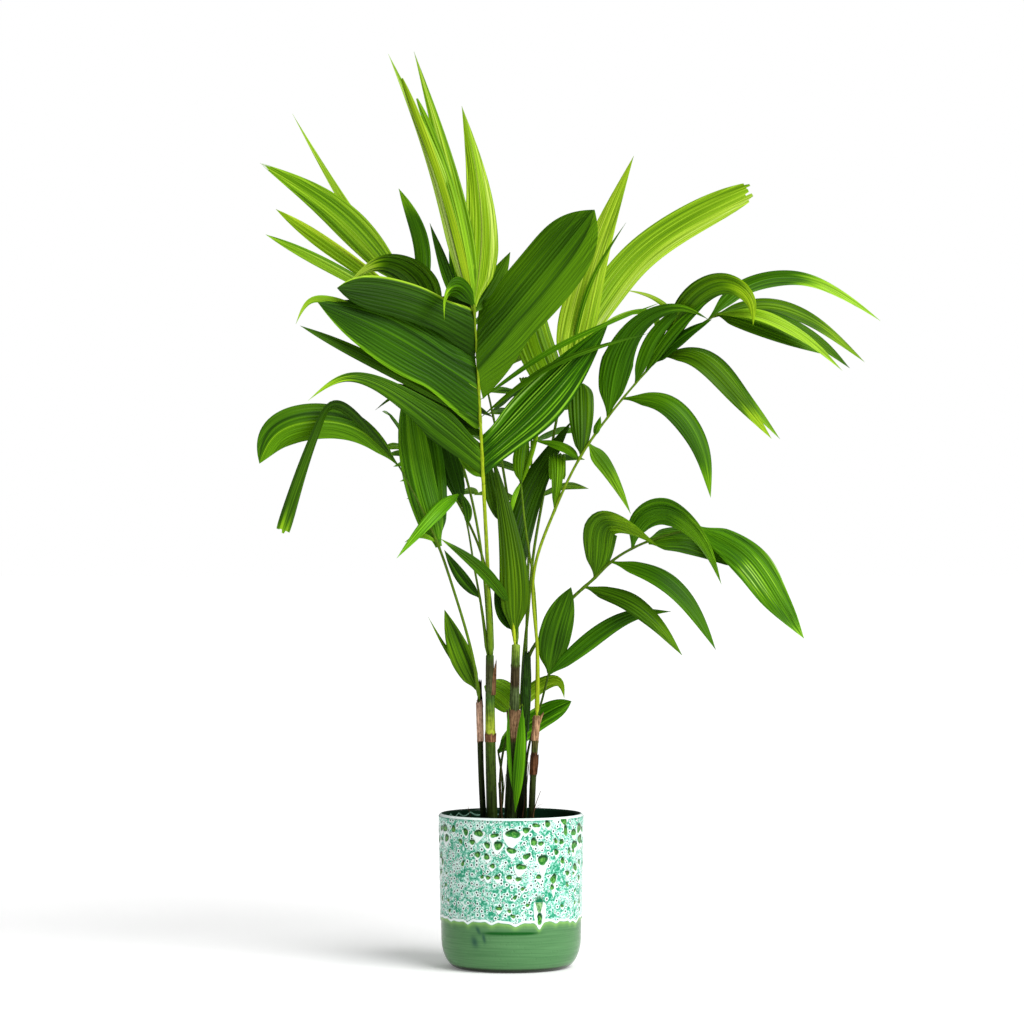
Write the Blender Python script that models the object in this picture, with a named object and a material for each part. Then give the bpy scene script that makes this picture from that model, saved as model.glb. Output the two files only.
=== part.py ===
"""A potted wild areca palm: a glazed pot, its compost, five cane-like stems, and fronds on their stalks.

Sizes are in millimetres until a mesh is made, where MM turns them to metres. +X is to the right, +Y to the
back and +Z up. The origin is the centre of the pot's flat underside. Each frond is one stalk and one or two
thin blades.
"""

import math
from dataclasses import dataclass, field

import bmesh
import bpy
import numpy as np

MM = 0.001
GAP = 0.3  # between a piece and the one that carries it

POT_HEIGHT = 240.0
POT_RADIUS = 112.5  # outside, at the rim
POT_FOOT_RADIUS = 82.0
POT_CORNER_HEIGHT = 48.0  # the rounded bottom corner
POT_WALL = 7.0
POT_FLOOR = 9.0
POT_TAPER = 3.5  # how much narrower the body is just above the corner than at the rim
COMPOST_DEPTH = 28.0  # the compost's surface below the rim
COMPOST_TOP = POT_HEIGHT - COMPOST_DEPTH
TURNED_SIDES = 28

LEAF_THICKNESS = 2.2
STEM_SIDES = 8
STALK_SIDES = 5
RIB_SIDES = 4
LIMB_STATIONS = 6  # sections along a stem, a stalk or a rib
LEAF_STATIONS = (4, 5, 7)  # sections along a narrow, a plain and an arching or broad-based leaflet
NARROW = 15.0
RIB_RADIUS = (1.9, 1.0)  # where the leaflets begin, and at the frond's end
FAN = 0.3  # share of a leaflet along which it turns from the rib's direction to its own

# A leaflet's outline: its width at the base as a share of the full width, where along it the full width is
# reached, how long it keeps that width before it narrows, and the share that is left at its end.
LANCE = (0.35, 0.42, 1.7, 0)
SLIM = (0.12, 0.55, 1.9, 0)
SPEAR = (0.40, 0.28, 1.25, 0)
BROAD = (0.60, 0.45, 2.6, 0)
FULL = (0.60, 0.50, 4.0, 0)
BLUNT = (0.45, 0.35, 5.0, 0)
SQUARE = (0.45, 0.35, 6.0, 0.5)
STRAP = (0.80, 0.30, 9.0, 0.5)
SPOON = (0.14, 0.66, 2.2, 0)
PADDLE = (0.28, 0.42, 2.4, 0)

FRONT = (0.0, -1.0, 0.25)  # the way a blade's broad side faces, before its leaflets bend
UPWARD = (0.0, -0.75, 0.65)
BEHIND = (0.0, 0.45, 0.9)


@dataclass
class Leaf:
    """A leaflet. The places it bends through and ends at are measured from its base."""

    at: float  # share of the frond's length where it grows
    path: list
    width: float
    shape: tuple = LANCE
    attached: float = 0.0  # length of rib that a broad leaflet is joined to
    roll: tuple = (0, 0)  # degrees about its own midline, at the base and at the tip


@dataclass
class Frond:
    name: str
    rib: list  # places that the stalk and the rib pass through, foot first
    neck: float  # share of that length where the stalk ends and the blade begins
    foot_radius: float
    face: tuple
    leaves: list = field(default_factory=list)
    split: float = 1.0  # share of the length where an arching blade is made in two
    level_foot: bool = True  # whether the stalk stands on a level surface


@dataclass
class Stem:
    name: str
    route: list
    radii: tuple  # at the foot, half-way and at the top


def leaf_pairs(first, count, length, width, along):
    """Leaflets in pairs to both sides of a rib: each leans along the rib, goes out to its side and droops."""
    leaves = []
    ahead = np.array(along, float)
    for i in range(count):
        at = first + (0.96 - first) * i / (count - 1)
        reach = length * (1 - 0.3 * i / (count - 1))
        for side in (-1, 1):
            out = np.array([side, 0, 0])
            middle = reach * (0.34 * out + 0.32 * ahead - np.array([0, 0, 0.03]))
            tip = reach * (0.60 * out + 0.58 * ahead - np.array([0, 0, 0.22]))
            leaves.append(Leaf(at + 0.01 * side, [tuple(middle), tuple(tip)], width))
    return leaves


STEMS = [
    Stem("stem_left", [(-42, 6, COMPOST_TOP), (-47, 4, 310), (-49, 0, 416)], (5.0, 4.6, 4.6)),
    Stem("stem_thick", [(-29, -16, COMPOST_TOP), (-32, -17, 340), (-33, -15, 486)], (8.8, 7.9, 6.2)),
    Stem("stem_middle", [(-2, -10, COMPOST_TOP), (3, -10, 345), (7.6, -10, 502)], (9.8, 8.2, 6.4)),
    Stem("stem_right", [(31, 0, COMPOST_TOP), (35, 0, 310), (40, 0, 391)], (5.2, 5.0, 5.4)),
    Stem("stem_back", [(14, 25, COMPOST_TOP), (17, 25, 300), (19.5, 24, 393)], (6.6, 6.4, 6.6)),
]

FRONDS = [
    Frond("front", [(-32, -18.6, 486), (-37, -32, 635), (-44, -48, 775), (-49, -62, 883), (-57, -75, 1029)],
          0.49, 2.1, FRONT, [
        Leaf(0.98, [(-55, 15, 210), (-135, 65, 405)], 34, SPEAR),
        Leaf(0.99, [(-35, 25, 190), (-95, 80, 405)], 36, SPEAR),
        Leaf(1.00, [(10, 20, 125), (-20, 65, 315)], 56, SPEAR),
        Leaf(1.00, [(-25, -20, 30), (-40, -50, 20), (-45, -60, -25)], 26),
        Leaf(0.87, [(80, -45, 90), (180, -80, 215)], 98, FULL, attached=120),
        Leaf(0.92, [(-110, -50, 50), (-210, -95, 65)], 56, BROAD, attached=70),
        Leaf(0.75, [(-145, -55, 85), (-240, -95, 130), (-275, -105, 100)], 74, LANCE, attached=95),
        Leaf(0.67, [(-125, -30, 75), (-275, -70, 145)], 18),
        Leaf(0.56, [(-120, -45, 95), (-210, -70, 125), (-265, -85, 90)], 50, LANCE, attached=50),
        Leaf(0.73, [(100, -45, 70), (280, -30, 150)], 12, roll=(35, 20)),
        Leaf(0.68, [(100, -35, 75), (260, -20, 130)], 12, roll=(35, 20)),
        Leaf(0.57, [(75, -25, 70), (195, -30, 205)], 74, LANCE, attached=60),
        Leaf(0.51, [(-20, 5, 20), (-45, 10, 45)], 20),
    ]),
    Frond("upper_left", [(-33.8, -11.4, 486), (-45, -2, 635), (-69, 15, 759), (-112, 50, 885),
                         (-173, 95, 1069)],
          0.62, 2.1, FRONT, [
        Leaf(1.00, [(-110, 35, 130), (-230, 55, 200)], 58),
        Leaf(0.99, [(-95, 65, 140), (-180, 95, 285)], 18, SPEAR),
        Leaf(0.95, [(-125, 20, 90), (-210, 30, 150)], 26),
        Leaf(0.92, [(-120, -5, 70), (-230, 5, 125)], 20),
        Leaf(0.85, [(-5, -35, 110), (-55, -50, 135), (-105, -70, 95)], 40),
        Leaf(0.89, [(10, 20, 130), (-25, 10, 215)], 22),
        Leaf(0.70, [(-50, -35, 0), (-95, -55, -30)], 8),
        Leaf(0.75, [(-40, -25, 5), (-70, -20, 20)], 8),
    ]),
    Frond("left_inner", [(-36.6, -15.2, 486), (-48, -12, 572), (-58, -6, 627), (-70, 6, 697),
                         (-81, 14, 738), (-100, 28, 799)],
          0.24, 2.1, FRONT, [
        Leaf(0.73, [(-25, 5, 85), (-50, 5, 195)], 36),
        Leaf(0.64, [(0, -5, 25), (-10, -5, 50)], 14),
        Leaf(0.80, [(-30, -60, -25), (-95, -90, -100)], 22),
        Leaf(0.28, [(-30, -10, 35), (-55, -20, 75)], 20),
    ]),
    Frond("left_low", [(-49.2, -2.6, 416), (-59, -12, 479), (-89, -20, 587), (-114, -25, 660),
                       (-134, -28, 705), (-174, -35, 781)],
          0.62, 2.2, FRONT, [
        Leaf(1.00, [(-60, -15, 60), (-145, -40, 70), (-200, -50, 45), (-215, -55, -25)], 60, SPOON),
        Leaf(1.00, [(-55, -25, 65), (-105, -50, 95), (-120, -55, 65), (-180, -75, -110)], 15, STRAP,
             roll=(75, 0)),
        Leaf(0.64, [(-30, 5, 105), (-50, -5, 250)], 50, BROAD),
        Leaf(0.66, [(-5, 20, 100), (-28, 25, 235)], 38, BROAD),
        Leaf(0.66, [(-25, -5, 10), (-50, -10, 0)], 8),
    ], split=0.84),
    Frond("low_left", [(-49.2, 2.3, 416), (-52, 4, 425), (-55, 3, 438)], 0.4, 1.7, FRONT, [
        Leaf(0.75, [(-25, -10, 55), (-50, -10, 125)], 36),
        Leaf(0.90, [(-40, 0, 50), (-75, 5, 110)], 10, SPEAR),
    ]),
    Frond("centre", [(6, -13.5, 502), (1, -12, 563), (-8, 2, 658), (-17, 12, 728)], 0.03, 2.6, FRONT, [
        Leaf(0.06, [(0, -5, 85), (-10, 5, 180), (-20, 15, 290)], 46, SPEAR),
        Leaf(0.27, [(-50, -35, 60), (-110, -50, 105)], 20),
        Leaf(0.31, [(15, 50, 130), (95, 75, 280)], 50),
        Leaf(0.10, [(-16, 10, 25), (-30, 12, 66)], 20),
        Leaf(0.83, [(-15, 5, 40), (-25, 15, 110)], 24),
    ]),
    Frond("right_high", [(40, -2.7, 391), (40, -3, 510), (35, -4, 610), (64, -6, 703), (106, -5, 792),
                         (143, 0, 847), (203, 8, 920), (275, 15, 989), (329, 20, 1022)],
          0.42, 2.5, UPWARD, [
        Leaf(0.57, [(0, 10, 90), (0, 30, 115), (5, 65, 45)], 42, PADDLE),
        Leaf(0.60, [(30, -5, -40), (65, -15, -110)], 30),
        Leaf(0.62, [(5, -5, 15), (10, -5, 30)], 12),
        Leaf(0.44, [(5, 15, 65), (5, 35, 90), (5, 65, 50)], 30, PADDLE),
        Leaf(0.56, [(-15, 10, 15), (-70, 25, 30)], 18),
        Leaf(0.72, [(60, -25, -5), (110, -35, -55), (135, -40, -155)], 42),
        Leaf(0.67, [(10, 0, 70), (50, -10, 145), (115, -25, 170), (155, -35, 150)], 48),
        Leaf(0.85, [(15, 30, 60), (-20, 35, 90), (-60, 40, 100)], 10),
        Leaf(0.80, [(5, 20, 90), (-45, 30, 85), (-85, 30, 60)], 10),
        Leaf(0.76, [(30, -10, 75), (85, -20, 130)], 24),
        Leaf(0.79, [(40, -25, 60), (105, -35, 120)], 22),
        Leaf(0.86, [(40, -35, 80), (90, -50, 100), (125, -60, 75), (130, -65, 35)], 40),
        Leaf(0.84, [(45, -30, 0), (110, -45, -55), (170, -55, -130)], 36),
        Leaf(0.85, [(55, -10, 0), (125, -10, -65), (180, -20, -135)], 30),
        Leaf(0.97, [(60, 40, 55), (140, 60, 70), (275, 70, 0)], 34),
        Leaf(0.98, [(80, 15, 20), (160, 25, -5), (240, 30, -70)], 36),
        Leaf(0.99, [(75, -20, -5), (140, -20, -30), (205, -30, -85)], 38),
        Leaf(0.99, [(55, -50, 0), (115, -60, -25), (190, -70, -90)], 26),
        Leaf(0.99, [(45, -30, -15), (170, -35, -65)], 30),
    ], split=0.91),
    Frond("right_inner", [(39, 2.9, 391), (40, 14, 510), (33, 14, 616), (23, 14, 681), (15, 15, 759)],
          0.96, 1.8, FRONT, [
        Leaf(0.99, [(0, 10, 35), (10, 20, 90)], 26),
        Leaf(0.98, [(15, 5, 45), (35, 15, 125)], 8),
        Leaf(0.99, [(-10, -14, -22), (-17, -18, -60)], 8),
    ]),
    Frond("back_right", [(16.2, 24.5, 393), (20, 32, 485), (27, 38, 555), (34, 45, 634), (50, 60, 731),
                         (66, 80, 823), (77, 95, 880), (102, 125, 975)],
          0.80, 2.3, FRONT, [
        Leaf(0.90, [(40, 40, 175), (110, 65, 360)], 62, SPEAR),
        Leaf(0.84, [(-40, 25, 90), (-65, 45, 220)], 60, BROAD),
        Leaf(0.98, [(105, 50, 155), (290, 80, 265)], 54, SQUARE),
        Leaf(0.97, [(25, 5, 105), (85, -5, 210)], 8),
    ]),
    Frond("right_mid", [(22.6, 21, 393), (23, 15, 462), (31, 11, 491), (53, 2, 522), (96, -8, 576),
                        (131, -18, 608), (152, -22, 629), (186, -30, 652), (223, -38, 668),
                        (292, -50, 686)],
          0.50, 2.8, UPWARD, [
        Leaf(0.53, [(75, -30, -25), (150, -45, -105)], 36),
        Leaf(0.66, [(70, -30, -20), (120, -40, -65), (160, -50, -135)], 36),
        Leaf(0.58, [(5, -10, 50), (15, -20, 90), (45, -45, 80), (95, -55, 50)], 52, PADDLE),
        Leaf(0.75, [(15, -10, 45), (45, -25, 65), (90, -45, 35), (135, -60, -55)], 46),
        Leaf(0.81, [(65, 5, 5), (140, 10, -40)], 54, BROAD),
        Leaf(1.00, [(65, -20, -35), (115, -35, -100), (160, -45, -170)], 68),
    ], split=0.71),
    Frond("right_low", [(22, 14, COMPOST_TOP), (23, 16, 275), (25, 16, 326), (47, 10, 411), (59, 4, 460)],
          0.94, 1.8, FRONT, [
        Leaf(0.99, [(10, -10, 60), (35, -20, 135)], 50, PADDLE),
        Leaf(0.98, [(65, -20, 55), (135, -30, 95), (190, -40, 100)], 28),
    ]),
    Frond("low_back", [(-13, 30, COMPOST_TOP), (-17, 30, 297), (-8, 36, 352), (9, 44, 400)],
          0.92, 1.8, FRONT, [
        Leaf(0.98, [(-20, -5, 25), (-50, -15, 40)], 46, BROAD),
        Leaf(0.99, [(40, 0, 40), (65, -10, 45), (75, -20, 20)], 24),
    ]),
    Frond("low_glossy", [(-21, 40, COMPOST_TOP), (-13, 42, 273), (-21, 42, 336)], 0.9, 1.8, FRONT, [
        Leaf(0.97, [(60, 10, 50), (115, -5, 80)], 32, BLUNT),
    ]),
    Frond("low_front", [(12.2, -15.4, 399), (14, -17.5, 406), (17, -21.5, 411), (18.5, -25, 407)],
          0.3, 1.2, FRONT, [
        Leaf(0.97, [(-6, -8, -85), (-12, -4, -166)], 26, SLIM),
    ], level_foot=False),
    Frond("low_front_thin", [(-0.6, -17.5, 400), (-1.8, -19.2, 406), (-3.2, -21.5, 409), (-4.5, -24, 406)],
          0.3, 1.2, FRONT, [
        Leaf(0.97, [(1, -5, -80), (9, -3, -142)], 14, SLIM),
    ], level_foot=False),
    Frond("back_left", [(-29.4, -14.4, 486), (-40, 35, 620), (-85, 110, 725), (-130, 190, 790),
                        (-165, 270, 815)],
          0.54, 2.1, BEHIND, leaf_pairs(0.60, 5, 100, 26, (-0.35, 0.75, 0.40)) + [
        Leaf(0.99, [(-30, 55, 50), (-50, 110, 60)], 26),
    ]),
    Frond("back_centre", [(9, -6.5, 502), (5, 45, 640), (-15, 120, 790), (-45, 190, 930), (-75, 260, 1020)],
          0.54, 2.2, BEHIND, leaf_pairs(0.58, 5, 190, 32, (-0.22, 0.55, 0.80)) + [
        Leaf(0.99, [(-35, -15, 95), (-58, -30, 160)], 22),
        Leaf(0.99, [(-20, -10, 80), (-27, -20, 130)], 14),
    ]),
    Frond("back_far", [(21.5, 28.2, 393), (25, 65, 550), (30, 150, 700), (33, 245, 830), (30, 340, 910)],
          0.54, 2.2, BEHIND, leaf_pairs(0.58, 5, 155, 30, (0.02, 0.78, 0.60)) + [
        Leaf(0.99, [(-5, 60, 25), (-10, 120, 15)], 26),
    ]),
]


def spline(places, count):
    """Evenly spaced points on the natural cubic curve through these places."""
    places = np.asarray(places, float)
    knots = np.concatenate([[0], np.cumsum(np.linalg.norm(np.diff(places, axis=0), axis=1))])
    step = np.diff(knots)
    system = np.eye(len(places))
    right = np.zeros_like(places)
    for i in range(1, len(places) - 1):
        system[i, i - 1:i + 2] = step[i - 1], 2 * (step[i - 1] + step[i]), step[i]
        right[i] = 6 * ((places[i + 1] - places[i]) / step[i] - (places[i] - places[i - 1]) / step[i - 1])
    bend = np.linalg.solve(system, right)
    along = np.linspace(0, knots[-1], count)
    i = np.clip(np.searchsorted(knots, along, side="right") - 1, 0, len(step) - 1)
    before = (along - knots[i])[:, None]
    after = (knots[i + 1] - along)[:, None]
    width = step[i][:, None]
    curved = (bend[i] * after**3 + bend[i + 1] * before**3) / (6 * width)
    low = (places[i] / width - bend[i] * width / 6) * after
    high = (places[i + 1] / width - bend[i + 1] * width / 6) * before
    return curved + low + high


def unit(vector):
    return vector / np.linalg.norm(vector)


def directions(points):
    steps = np.gradient(points, axis=0)
    return steps / np.linalg.norm(steps, axis=1)[:, None]


def material(name, red, green, blue, roughness, coat=0.0):
    made = bpy.data.materials.new(name)
    made.use_nodes = True
    shader = made.node_tree.nodes["Principled BSDF"]
    shader.inputs["Base Color"].default_value = (red, green, blue, 1)
    shader.inputs["Roughness"].default_value = roughness
    shader.inputs["Coat Weight"].default_value = coat
    return made


def add_object(name, points, faces, finish, collection=None):
    mesh = bpy.data.meshes.new(name)
    mesh.from_pydata([tuple(p * MM) for p in np.asarray(points, float)], [], faces)
    work = bmesh.new()
    work.from_mesh(mesh)
    bmesh.ops.recalc_face_normals(work, faces=work.faces)
    work.to_mesh(mesh)
    work.free()
    mesh.materials.append(finish)
    made = bpy.data.objects.new(name, mesh)
    (collection or bpy.context.scene.collection).objects.link(made)
    return made


def skin(rings, tip=None):
    """Points and faces of a closed skin over rings of equal length. It ends flat, or is drawn to a point.

    The diagonals on a blade's back run as those on its front do, so that a twist keeps its thickness.
    """
    sides = len(rings[0])
    points = [p for ring in rings for p in ring]
    faces = [tuple(range(sides))]
    for first in range(0, (len(rings) - 1) * sides, sides):
        for i in range(sides):
            j = (i + 1) % sides
            low, low_after, high_after, high = first + i, first + j, first + sides + j, first + sides + i
            quad = (low, low_after, high_after, high)
            faces.append(quad if i < 2 else quad[1:] + quad[:1])
    last = (len(rings) - 1) * sides
    if tip is None:
        faces.append(tuple(range(last, last + sides)))
    else:
        points.append(tip)
        faces += [(last + i, last + (i + 1) % sides, len(points) - 1) for i in range(sides)]
    return points, faces


def tube_rings(points, headings, radii, sides, level_start=False, level_end=False):
    """Rings square to a curve. A level end ring lies flat, to stand on a surface or to carry a stalk."""
    rings = []
    across = np.array([0.0, -1.0, 0.0])
    for i, (centre, forward, radius) in enumerate(zip(points, headings, radii)):
        level = (level_start and i == 0) or (level_end and i == len(points) - 1)
        axis = np.array([0.0, 0.0, 1.0]) if level else forward
        across = unit(across - np.dot(across, axis) * axis)
        other = np.cross(axis, across)
        angles = np.arange(sides) * math.tau / sides
        rings.append([centre + radius * (math.cos(a) * across + math.sin(a) * other) for a in angles])
    return rings


def turned(name, profile, finish):
    """A solid of revolution. Its profile runs up the outside and back down the inside or along the axis."""
    angles = np.arange(TURNED_SIDES) * math.tau / TURNED_SIDES
    points = []
    rings = []
    for radius, height in profile:
        if radius == 0:
            rings.append([len(points)] * TURNED_SIDES)
            points.append(np.array([0, 0, height]))
            continue
        rings.append(list(range(len(points), len(points) + TURNED_SIDES)))
        points += [np.array([radius * math.cos(a), radius * math.sin(a), height]) for a in angles]
    faces = []
    for low, high in zip(rings, rings[1:]):
        for i in range(TURNED_SIDES):
            j = (i + 1) % TURNED_SIDES
            corners = list(dict.fromkeys([low[i], low[j], high[j], high[i]]))
            if len(corners) > 2:
                faces.append(tuple(corners))
    return add_object(name, points, faces, finish)


def pot_outside(height):
    """The pot's outer radius: a quarter ellipse at the bottom, then an almost straight wall."""
    body = POT_RADIUS - POT_TAPER
    if height < POT_CORNER_HEIGHT:
        rise = 1 - height / POT_CORNER_HEIGHT
        return POT_FOOT_RADIUS + (body - POT_FOOT_RADIUS) * math.sqrt(1 - rise**2)
    return body + POT_TAPER * (height - POT_CORNER_HEIGHT) / (POT_HEIGHT - POT_CORNER_HEIGHT)


def pot_heights(bottom, top):
    """Heights for a profile: close together round the bottom corner, then the wall's ends."""
    turns = [POT_CORNER_HEIGHT * (1 - math.cos(a)) for a in np.linspace(0, math.pi / 2, 5)]
    return [bottom] + [h for h in turns if bottom + 1 < h < top] + [top]


def make_pot(finish):
    outside = [(pot_outside(h), h) for h in pot_heights(0, POT_HEIGHT - POT_WALL / 2)]
    lip = POT_HEIGHT - POT_WALL / 2
    middle = POT_RADIUS - POT_WALL / 2
    rim = [(middle + POT_WALL / 2 * math.cos(a), lip + POT_WALL / 2 * math.sin(a))
           for a in np.linspace(0, math.pi, 5)[1:-1]]
    inside = [(pot_outside(h) - POT_WALL, h) for h in pot_heights(POT_FLOOR, lip)]
    return turned("pot", [(0, 0)] + outside + rim + inside[::-1] + [(0, POT_FLOOR)], finish)


def make_compost(finish):
    wall = [(pot_outside(h) - POT_WALL - GAP, h) for h in pot_heights(POT_FLOOR + GAP, COMPOST_TOP)]
    return turned("compost", [(0, POT_FLOOR + GAP)] + wall + [(0, COMPOST_TOP)], finish)


def make_stem(stem, finish):
    points = spline(stem.route, LIMB_STATIONS)
    points[0, 2] += GAP
    radii = np.interp(np.linspace(0, 1, LIMB_STATIONS), [0, 0.5, 1], stem.radii)
    rings = tube_rings(points, directions(points), radii, STEM_SIDES, level_start=True, level_end=True)
    return add_object(stem.name, *skin(rings), finish)


def leaf_width(leaf, share):
    """Full width of a leaflet at this share of its length."""
    foot, widest, fullness, end = leaf.shape
    if share < widest:
        return leaf.width * (foot + (1 - foot) * math.sin(share / widest * math.pi / 2))
    return leaf.width * (1 - (1 - end) * ((share - widest) / (1 - widest))**fullness)


def is_curved(leaf):
    return len(leaf.path) > 2 or leaf.attached > 0 or leaf.shape[3] > 0


def leaf_frames(leaf, base, rib_direction, face):
    """Centre, sideways direction and broad side of a leaflet, from its base to its tip."""
    count = LEAF_STATIONS[2 if is_curved(leaf) else 0 if leaf.width < NARROW else 1]
    centres = spline([base] + [base + np.array(place, float) for place in leaf.path], count)
    forward = directions(centres)
    broad = np.array(face, float)
    for i, share in enumerate(np.linspace(0, 1, count)):
        broad = unit(broad - np.dot(broad, forward[i]) * forward[i])
        side = np.cross(forward[i], broad)
        turn = math.radians(leaf.roll[0] + (leaf.roll[1] - leaf.roll[0]) * share)
        across = math.cos(turn) * side + math.sin(turn) * broad
        half = leaf_width(leaf, share) / 2
        if leaf.attached and share < FAN:
            own = share / FAN
            own = own * own * (3 - 2 * own)
            along_rib = rib_direction * (1 if np.dot(rib_direction, across) > 0 else -1)
            across = unit(along_rib * (1 - own) + across * own)
            half = leaf.attached / 2 * (1 - own) + half * own
        yield centres[i], across, unit(np.cross(across, forward[i])), half


def leaf_mesh(leaf, base, rib_direction, face):
    """A flat blade, thickest along its midline. A broad base twists most, so it also has a midline on
    its back, which keeps the two sides apart.
    """
    rings = []
    for centre, across, broad, half in leaf_frames(leaf, base, rib_direction, face):
        low = centre - broad * LEAF_THICKNESS / 2
        ring = [low - across * half, centre + broad * LEAF_THICKNESS / 2, low + across * half]
        rings.append(ring + [low] if leaf.attached else ring)
    if leaf.shape[3] > 0:
        return skin(rings)
    return skin(rings[:-1], tip=base + np.array(leaf.path[-1], float))


def curve_length(curve):
    return np.linalg.norm(np.diff(curve, axis=0), axis=1).sum()


def stretch(curve, start, end, count):
    """Points on a finely divided curve between two shares of its length, and its direction at each."""
    length = np.concatenate([[0], np.cumsum(np.linalg.norm(np.diff(curve, axis=0), axis=1))])
    wanted = np.linspace(start, end, count) * length[-1]
    values = np.concatenate([curve, directions(curve)], axis=1)
    found = np.stack([np.interp(wanted, length, column) for column in values.T], axis=1)
    return found[:, :3], found[:, 3:]


def blade(name, frond, curve, start, end, finish):
    """The rib between two places of a frond, in one body with the leaflets that grow on it."""
    length = curve_length(curve)
    points, headings = stretch(curve, start, end, LIMB_STATIONS)
    share = np.linspace(start, end, LIMB_STATIONS)
    radii = np.interp(share, [frond.neck, 1], RIB_RADIUS)
    rib = add_object(name, *skin(tube_rings(points, headings, radii, RIB_SIDES)), finish)
    group = bpy.data.collections.new(name + "_leaflets")
    bpy.context.scene.collection.children.link(group)
    for number, leaf in enumerate(leaf for leaf in frond.leaves if start <= leaf.at <= end):
        place = min(max(leaf.at, start + 2 / length), end - 2 / length)
        (base,), (heading,) = stretch(curve, place, place, 1)
        leaflet = add_object(f"{name}_leaflet_{number}", *leaf_mesh(leaf, base, heading, frond.face),
            finish, group)
        leaflet.hide_render = True
        leaflet.display_type = "WIRE"
        join = rib.modifiers.new(f"leaflet {number} grows on the rib", "BOOLEAN")
        join.operation = "UNION"
        join.object = leaflet
        join.solver = "MANIFOLD"
    return rib


def make_frond(frond, stalk_finish, leaf_finish):
    curve = spline(frond.rib, 400)
    length = curve_length(curve)
    points, headings = stretch(curve, 0, frond.neck, LIMB_STATIONS)
    if frond.level_foot:
        points[0, 2] += GAP
    radii = np.linspace(frond.foot_radius, RIB_RADIUS[0], LIMB_STATIONS)
    rings = tube_rings(points, headings, radii, STALK_SIDES, level_start=frond.level_foot)
    add_object(frond.name + "_stalk", *skin(rings), stalk_finish)
    start = frond.neck + GAP / length
    if frond.split < 1:
        blade(frond.name + "_frond", frond, curve, start, frond.split, leaf_finish)
        blade(frond.name + "_frond_end", frond, curve, frond.split + GAP / length, 1, leaf_finish)
    else:
        blade(frond.name + "_frond", frond, curve, start, 1, leaf_finish)


def main():
    for old in list(bpy.data.objects):
        bpy.data.objects.remove(old)
    glaze = material("mint reactive glaze", 0.25, 0.62, 0.48, 0.2, coat=0.5)
    soil = material("peat compost", 0.03, 0.018, 0.01, 0.95)
    cane = material("green cane", 0.05, 0.11, 0.02, 0.5)
    stalk = material("leaf stalk", 0.16, 0.32, 0.03, 0.45)
    leaf = material("areca leaf", 0.06, 0.2, 0.01, 0.4)
    make_pot(glaze)
    make_compost(soil)
    for stem in STEMS:
        make_stem(stem, cane)
    for frond in FRONDS:
        make_frond(frond, stalk, leaf)


main()
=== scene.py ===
# %% [markdown]
# # A potted wild areca palm
#
# The plant is a clump of thin green canes. Each cane carries a few leaf stalks, and each stalk ends in a frond: one
# rib with pleated leaflets down both sides. The pot is turned stoneware under a thick, cratered mint glaze.
#
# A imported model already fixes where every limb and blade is. This script keeps to those places and gives them their
# real surfaces, so the first step is to load that model and to note how large it is.

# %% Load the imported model
import math
from dataclasses import dataclass, field

import bpy
import numpy as np
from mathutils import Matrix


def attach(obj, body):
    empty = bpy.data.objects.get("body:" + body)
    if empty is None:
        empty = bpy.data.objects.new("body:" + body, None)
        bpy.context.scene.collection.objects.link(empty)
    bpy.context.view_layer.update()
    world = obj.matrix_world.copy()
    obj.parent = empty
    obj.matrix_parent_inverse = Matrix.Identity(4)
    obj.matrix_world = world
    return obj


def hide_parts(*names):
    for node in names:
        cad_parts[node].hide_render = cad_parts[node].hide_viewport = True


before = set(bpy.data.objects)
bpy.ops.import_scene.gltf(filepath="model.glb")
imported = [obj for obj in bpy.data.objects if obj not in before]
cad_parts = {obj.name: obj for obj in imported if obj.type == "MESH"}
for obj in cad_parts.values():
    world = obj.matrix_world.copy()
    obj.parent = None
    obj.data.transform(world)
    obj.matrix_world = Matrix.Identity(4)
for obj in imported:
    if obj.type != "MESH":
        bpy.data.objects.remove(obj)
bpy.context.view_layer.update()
MM = 0.001  # the tables below are in millimetres, and Blender works in metres

# %% [markdown]
# ## Colours and nodes
#
# A colour picked on a screen is sRGB, but a shader works in linear light, so one function turns one into the other.
# A second function adds a shader node with its settings and its inputs, whatever kind it is. A third starts each
# material from the Principled shader, because nearly every real surface is some mix of its sockets, and another joins
# the finished colour and relief to it.

# %% Colour, node and material helpers
def linear(code):
    """An sRGB hex colour as linear red, green, blue and alpha."""
    parts = [int(code[i:i + 2], 16) / 255 for i in (1, 3, 5)]
    return tuple(c / 12.92 if c <= 0.04045 else ((c + 0.055) / 1.055) ** 2.4 for c in parts) + (1.0,)


def add(tree, kind, settings=None, inputs=None):
    """Adds a node. An input is named or numbered, and takes a value or another node's output."""
    node = tree.nodes.new("ShaderNode" + kind)
    for name, value in (settings or {}).items():
        setattr(node, name, value)
    for name, value in (inputs or {}).items():
        if isinstance(value, bpy.types.NodeSocket):
            tree.links.new(value, node.inputs[name])
        else:
            node.inputs[name].default_value = value
    return node


def start_material(name, **values):
    """A material with one Principled shader. Values such as Base_Color are set on the shader's own sockets."""
    made = bpy.data.materials.new(name)
    made.use_nodes = True
    shader = made.node_tree.nodes["Principled BSDF"]
    for key, value in values.items():
        shader.inputs[key.replace("_", " ")].default_value = value
    return made, made.node_tree, shader


def painted(tree, darkest, factor):
    """The colour painted on the mesh, darkened to a share of itself where factor is 0."""
    paint = add(tree, "Attribute", {"attribute_name": "paint"}).outputs["Color"]
    grey = blend_colours(tree, factor, darkest, "#ffffff")
    return add(tree, "Mix", {"data_type": "RGBA", "blend_type": "MULTIPLY"}, {0: 1.0, 6: paint, 7: grey}).outputs[2]


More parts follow.
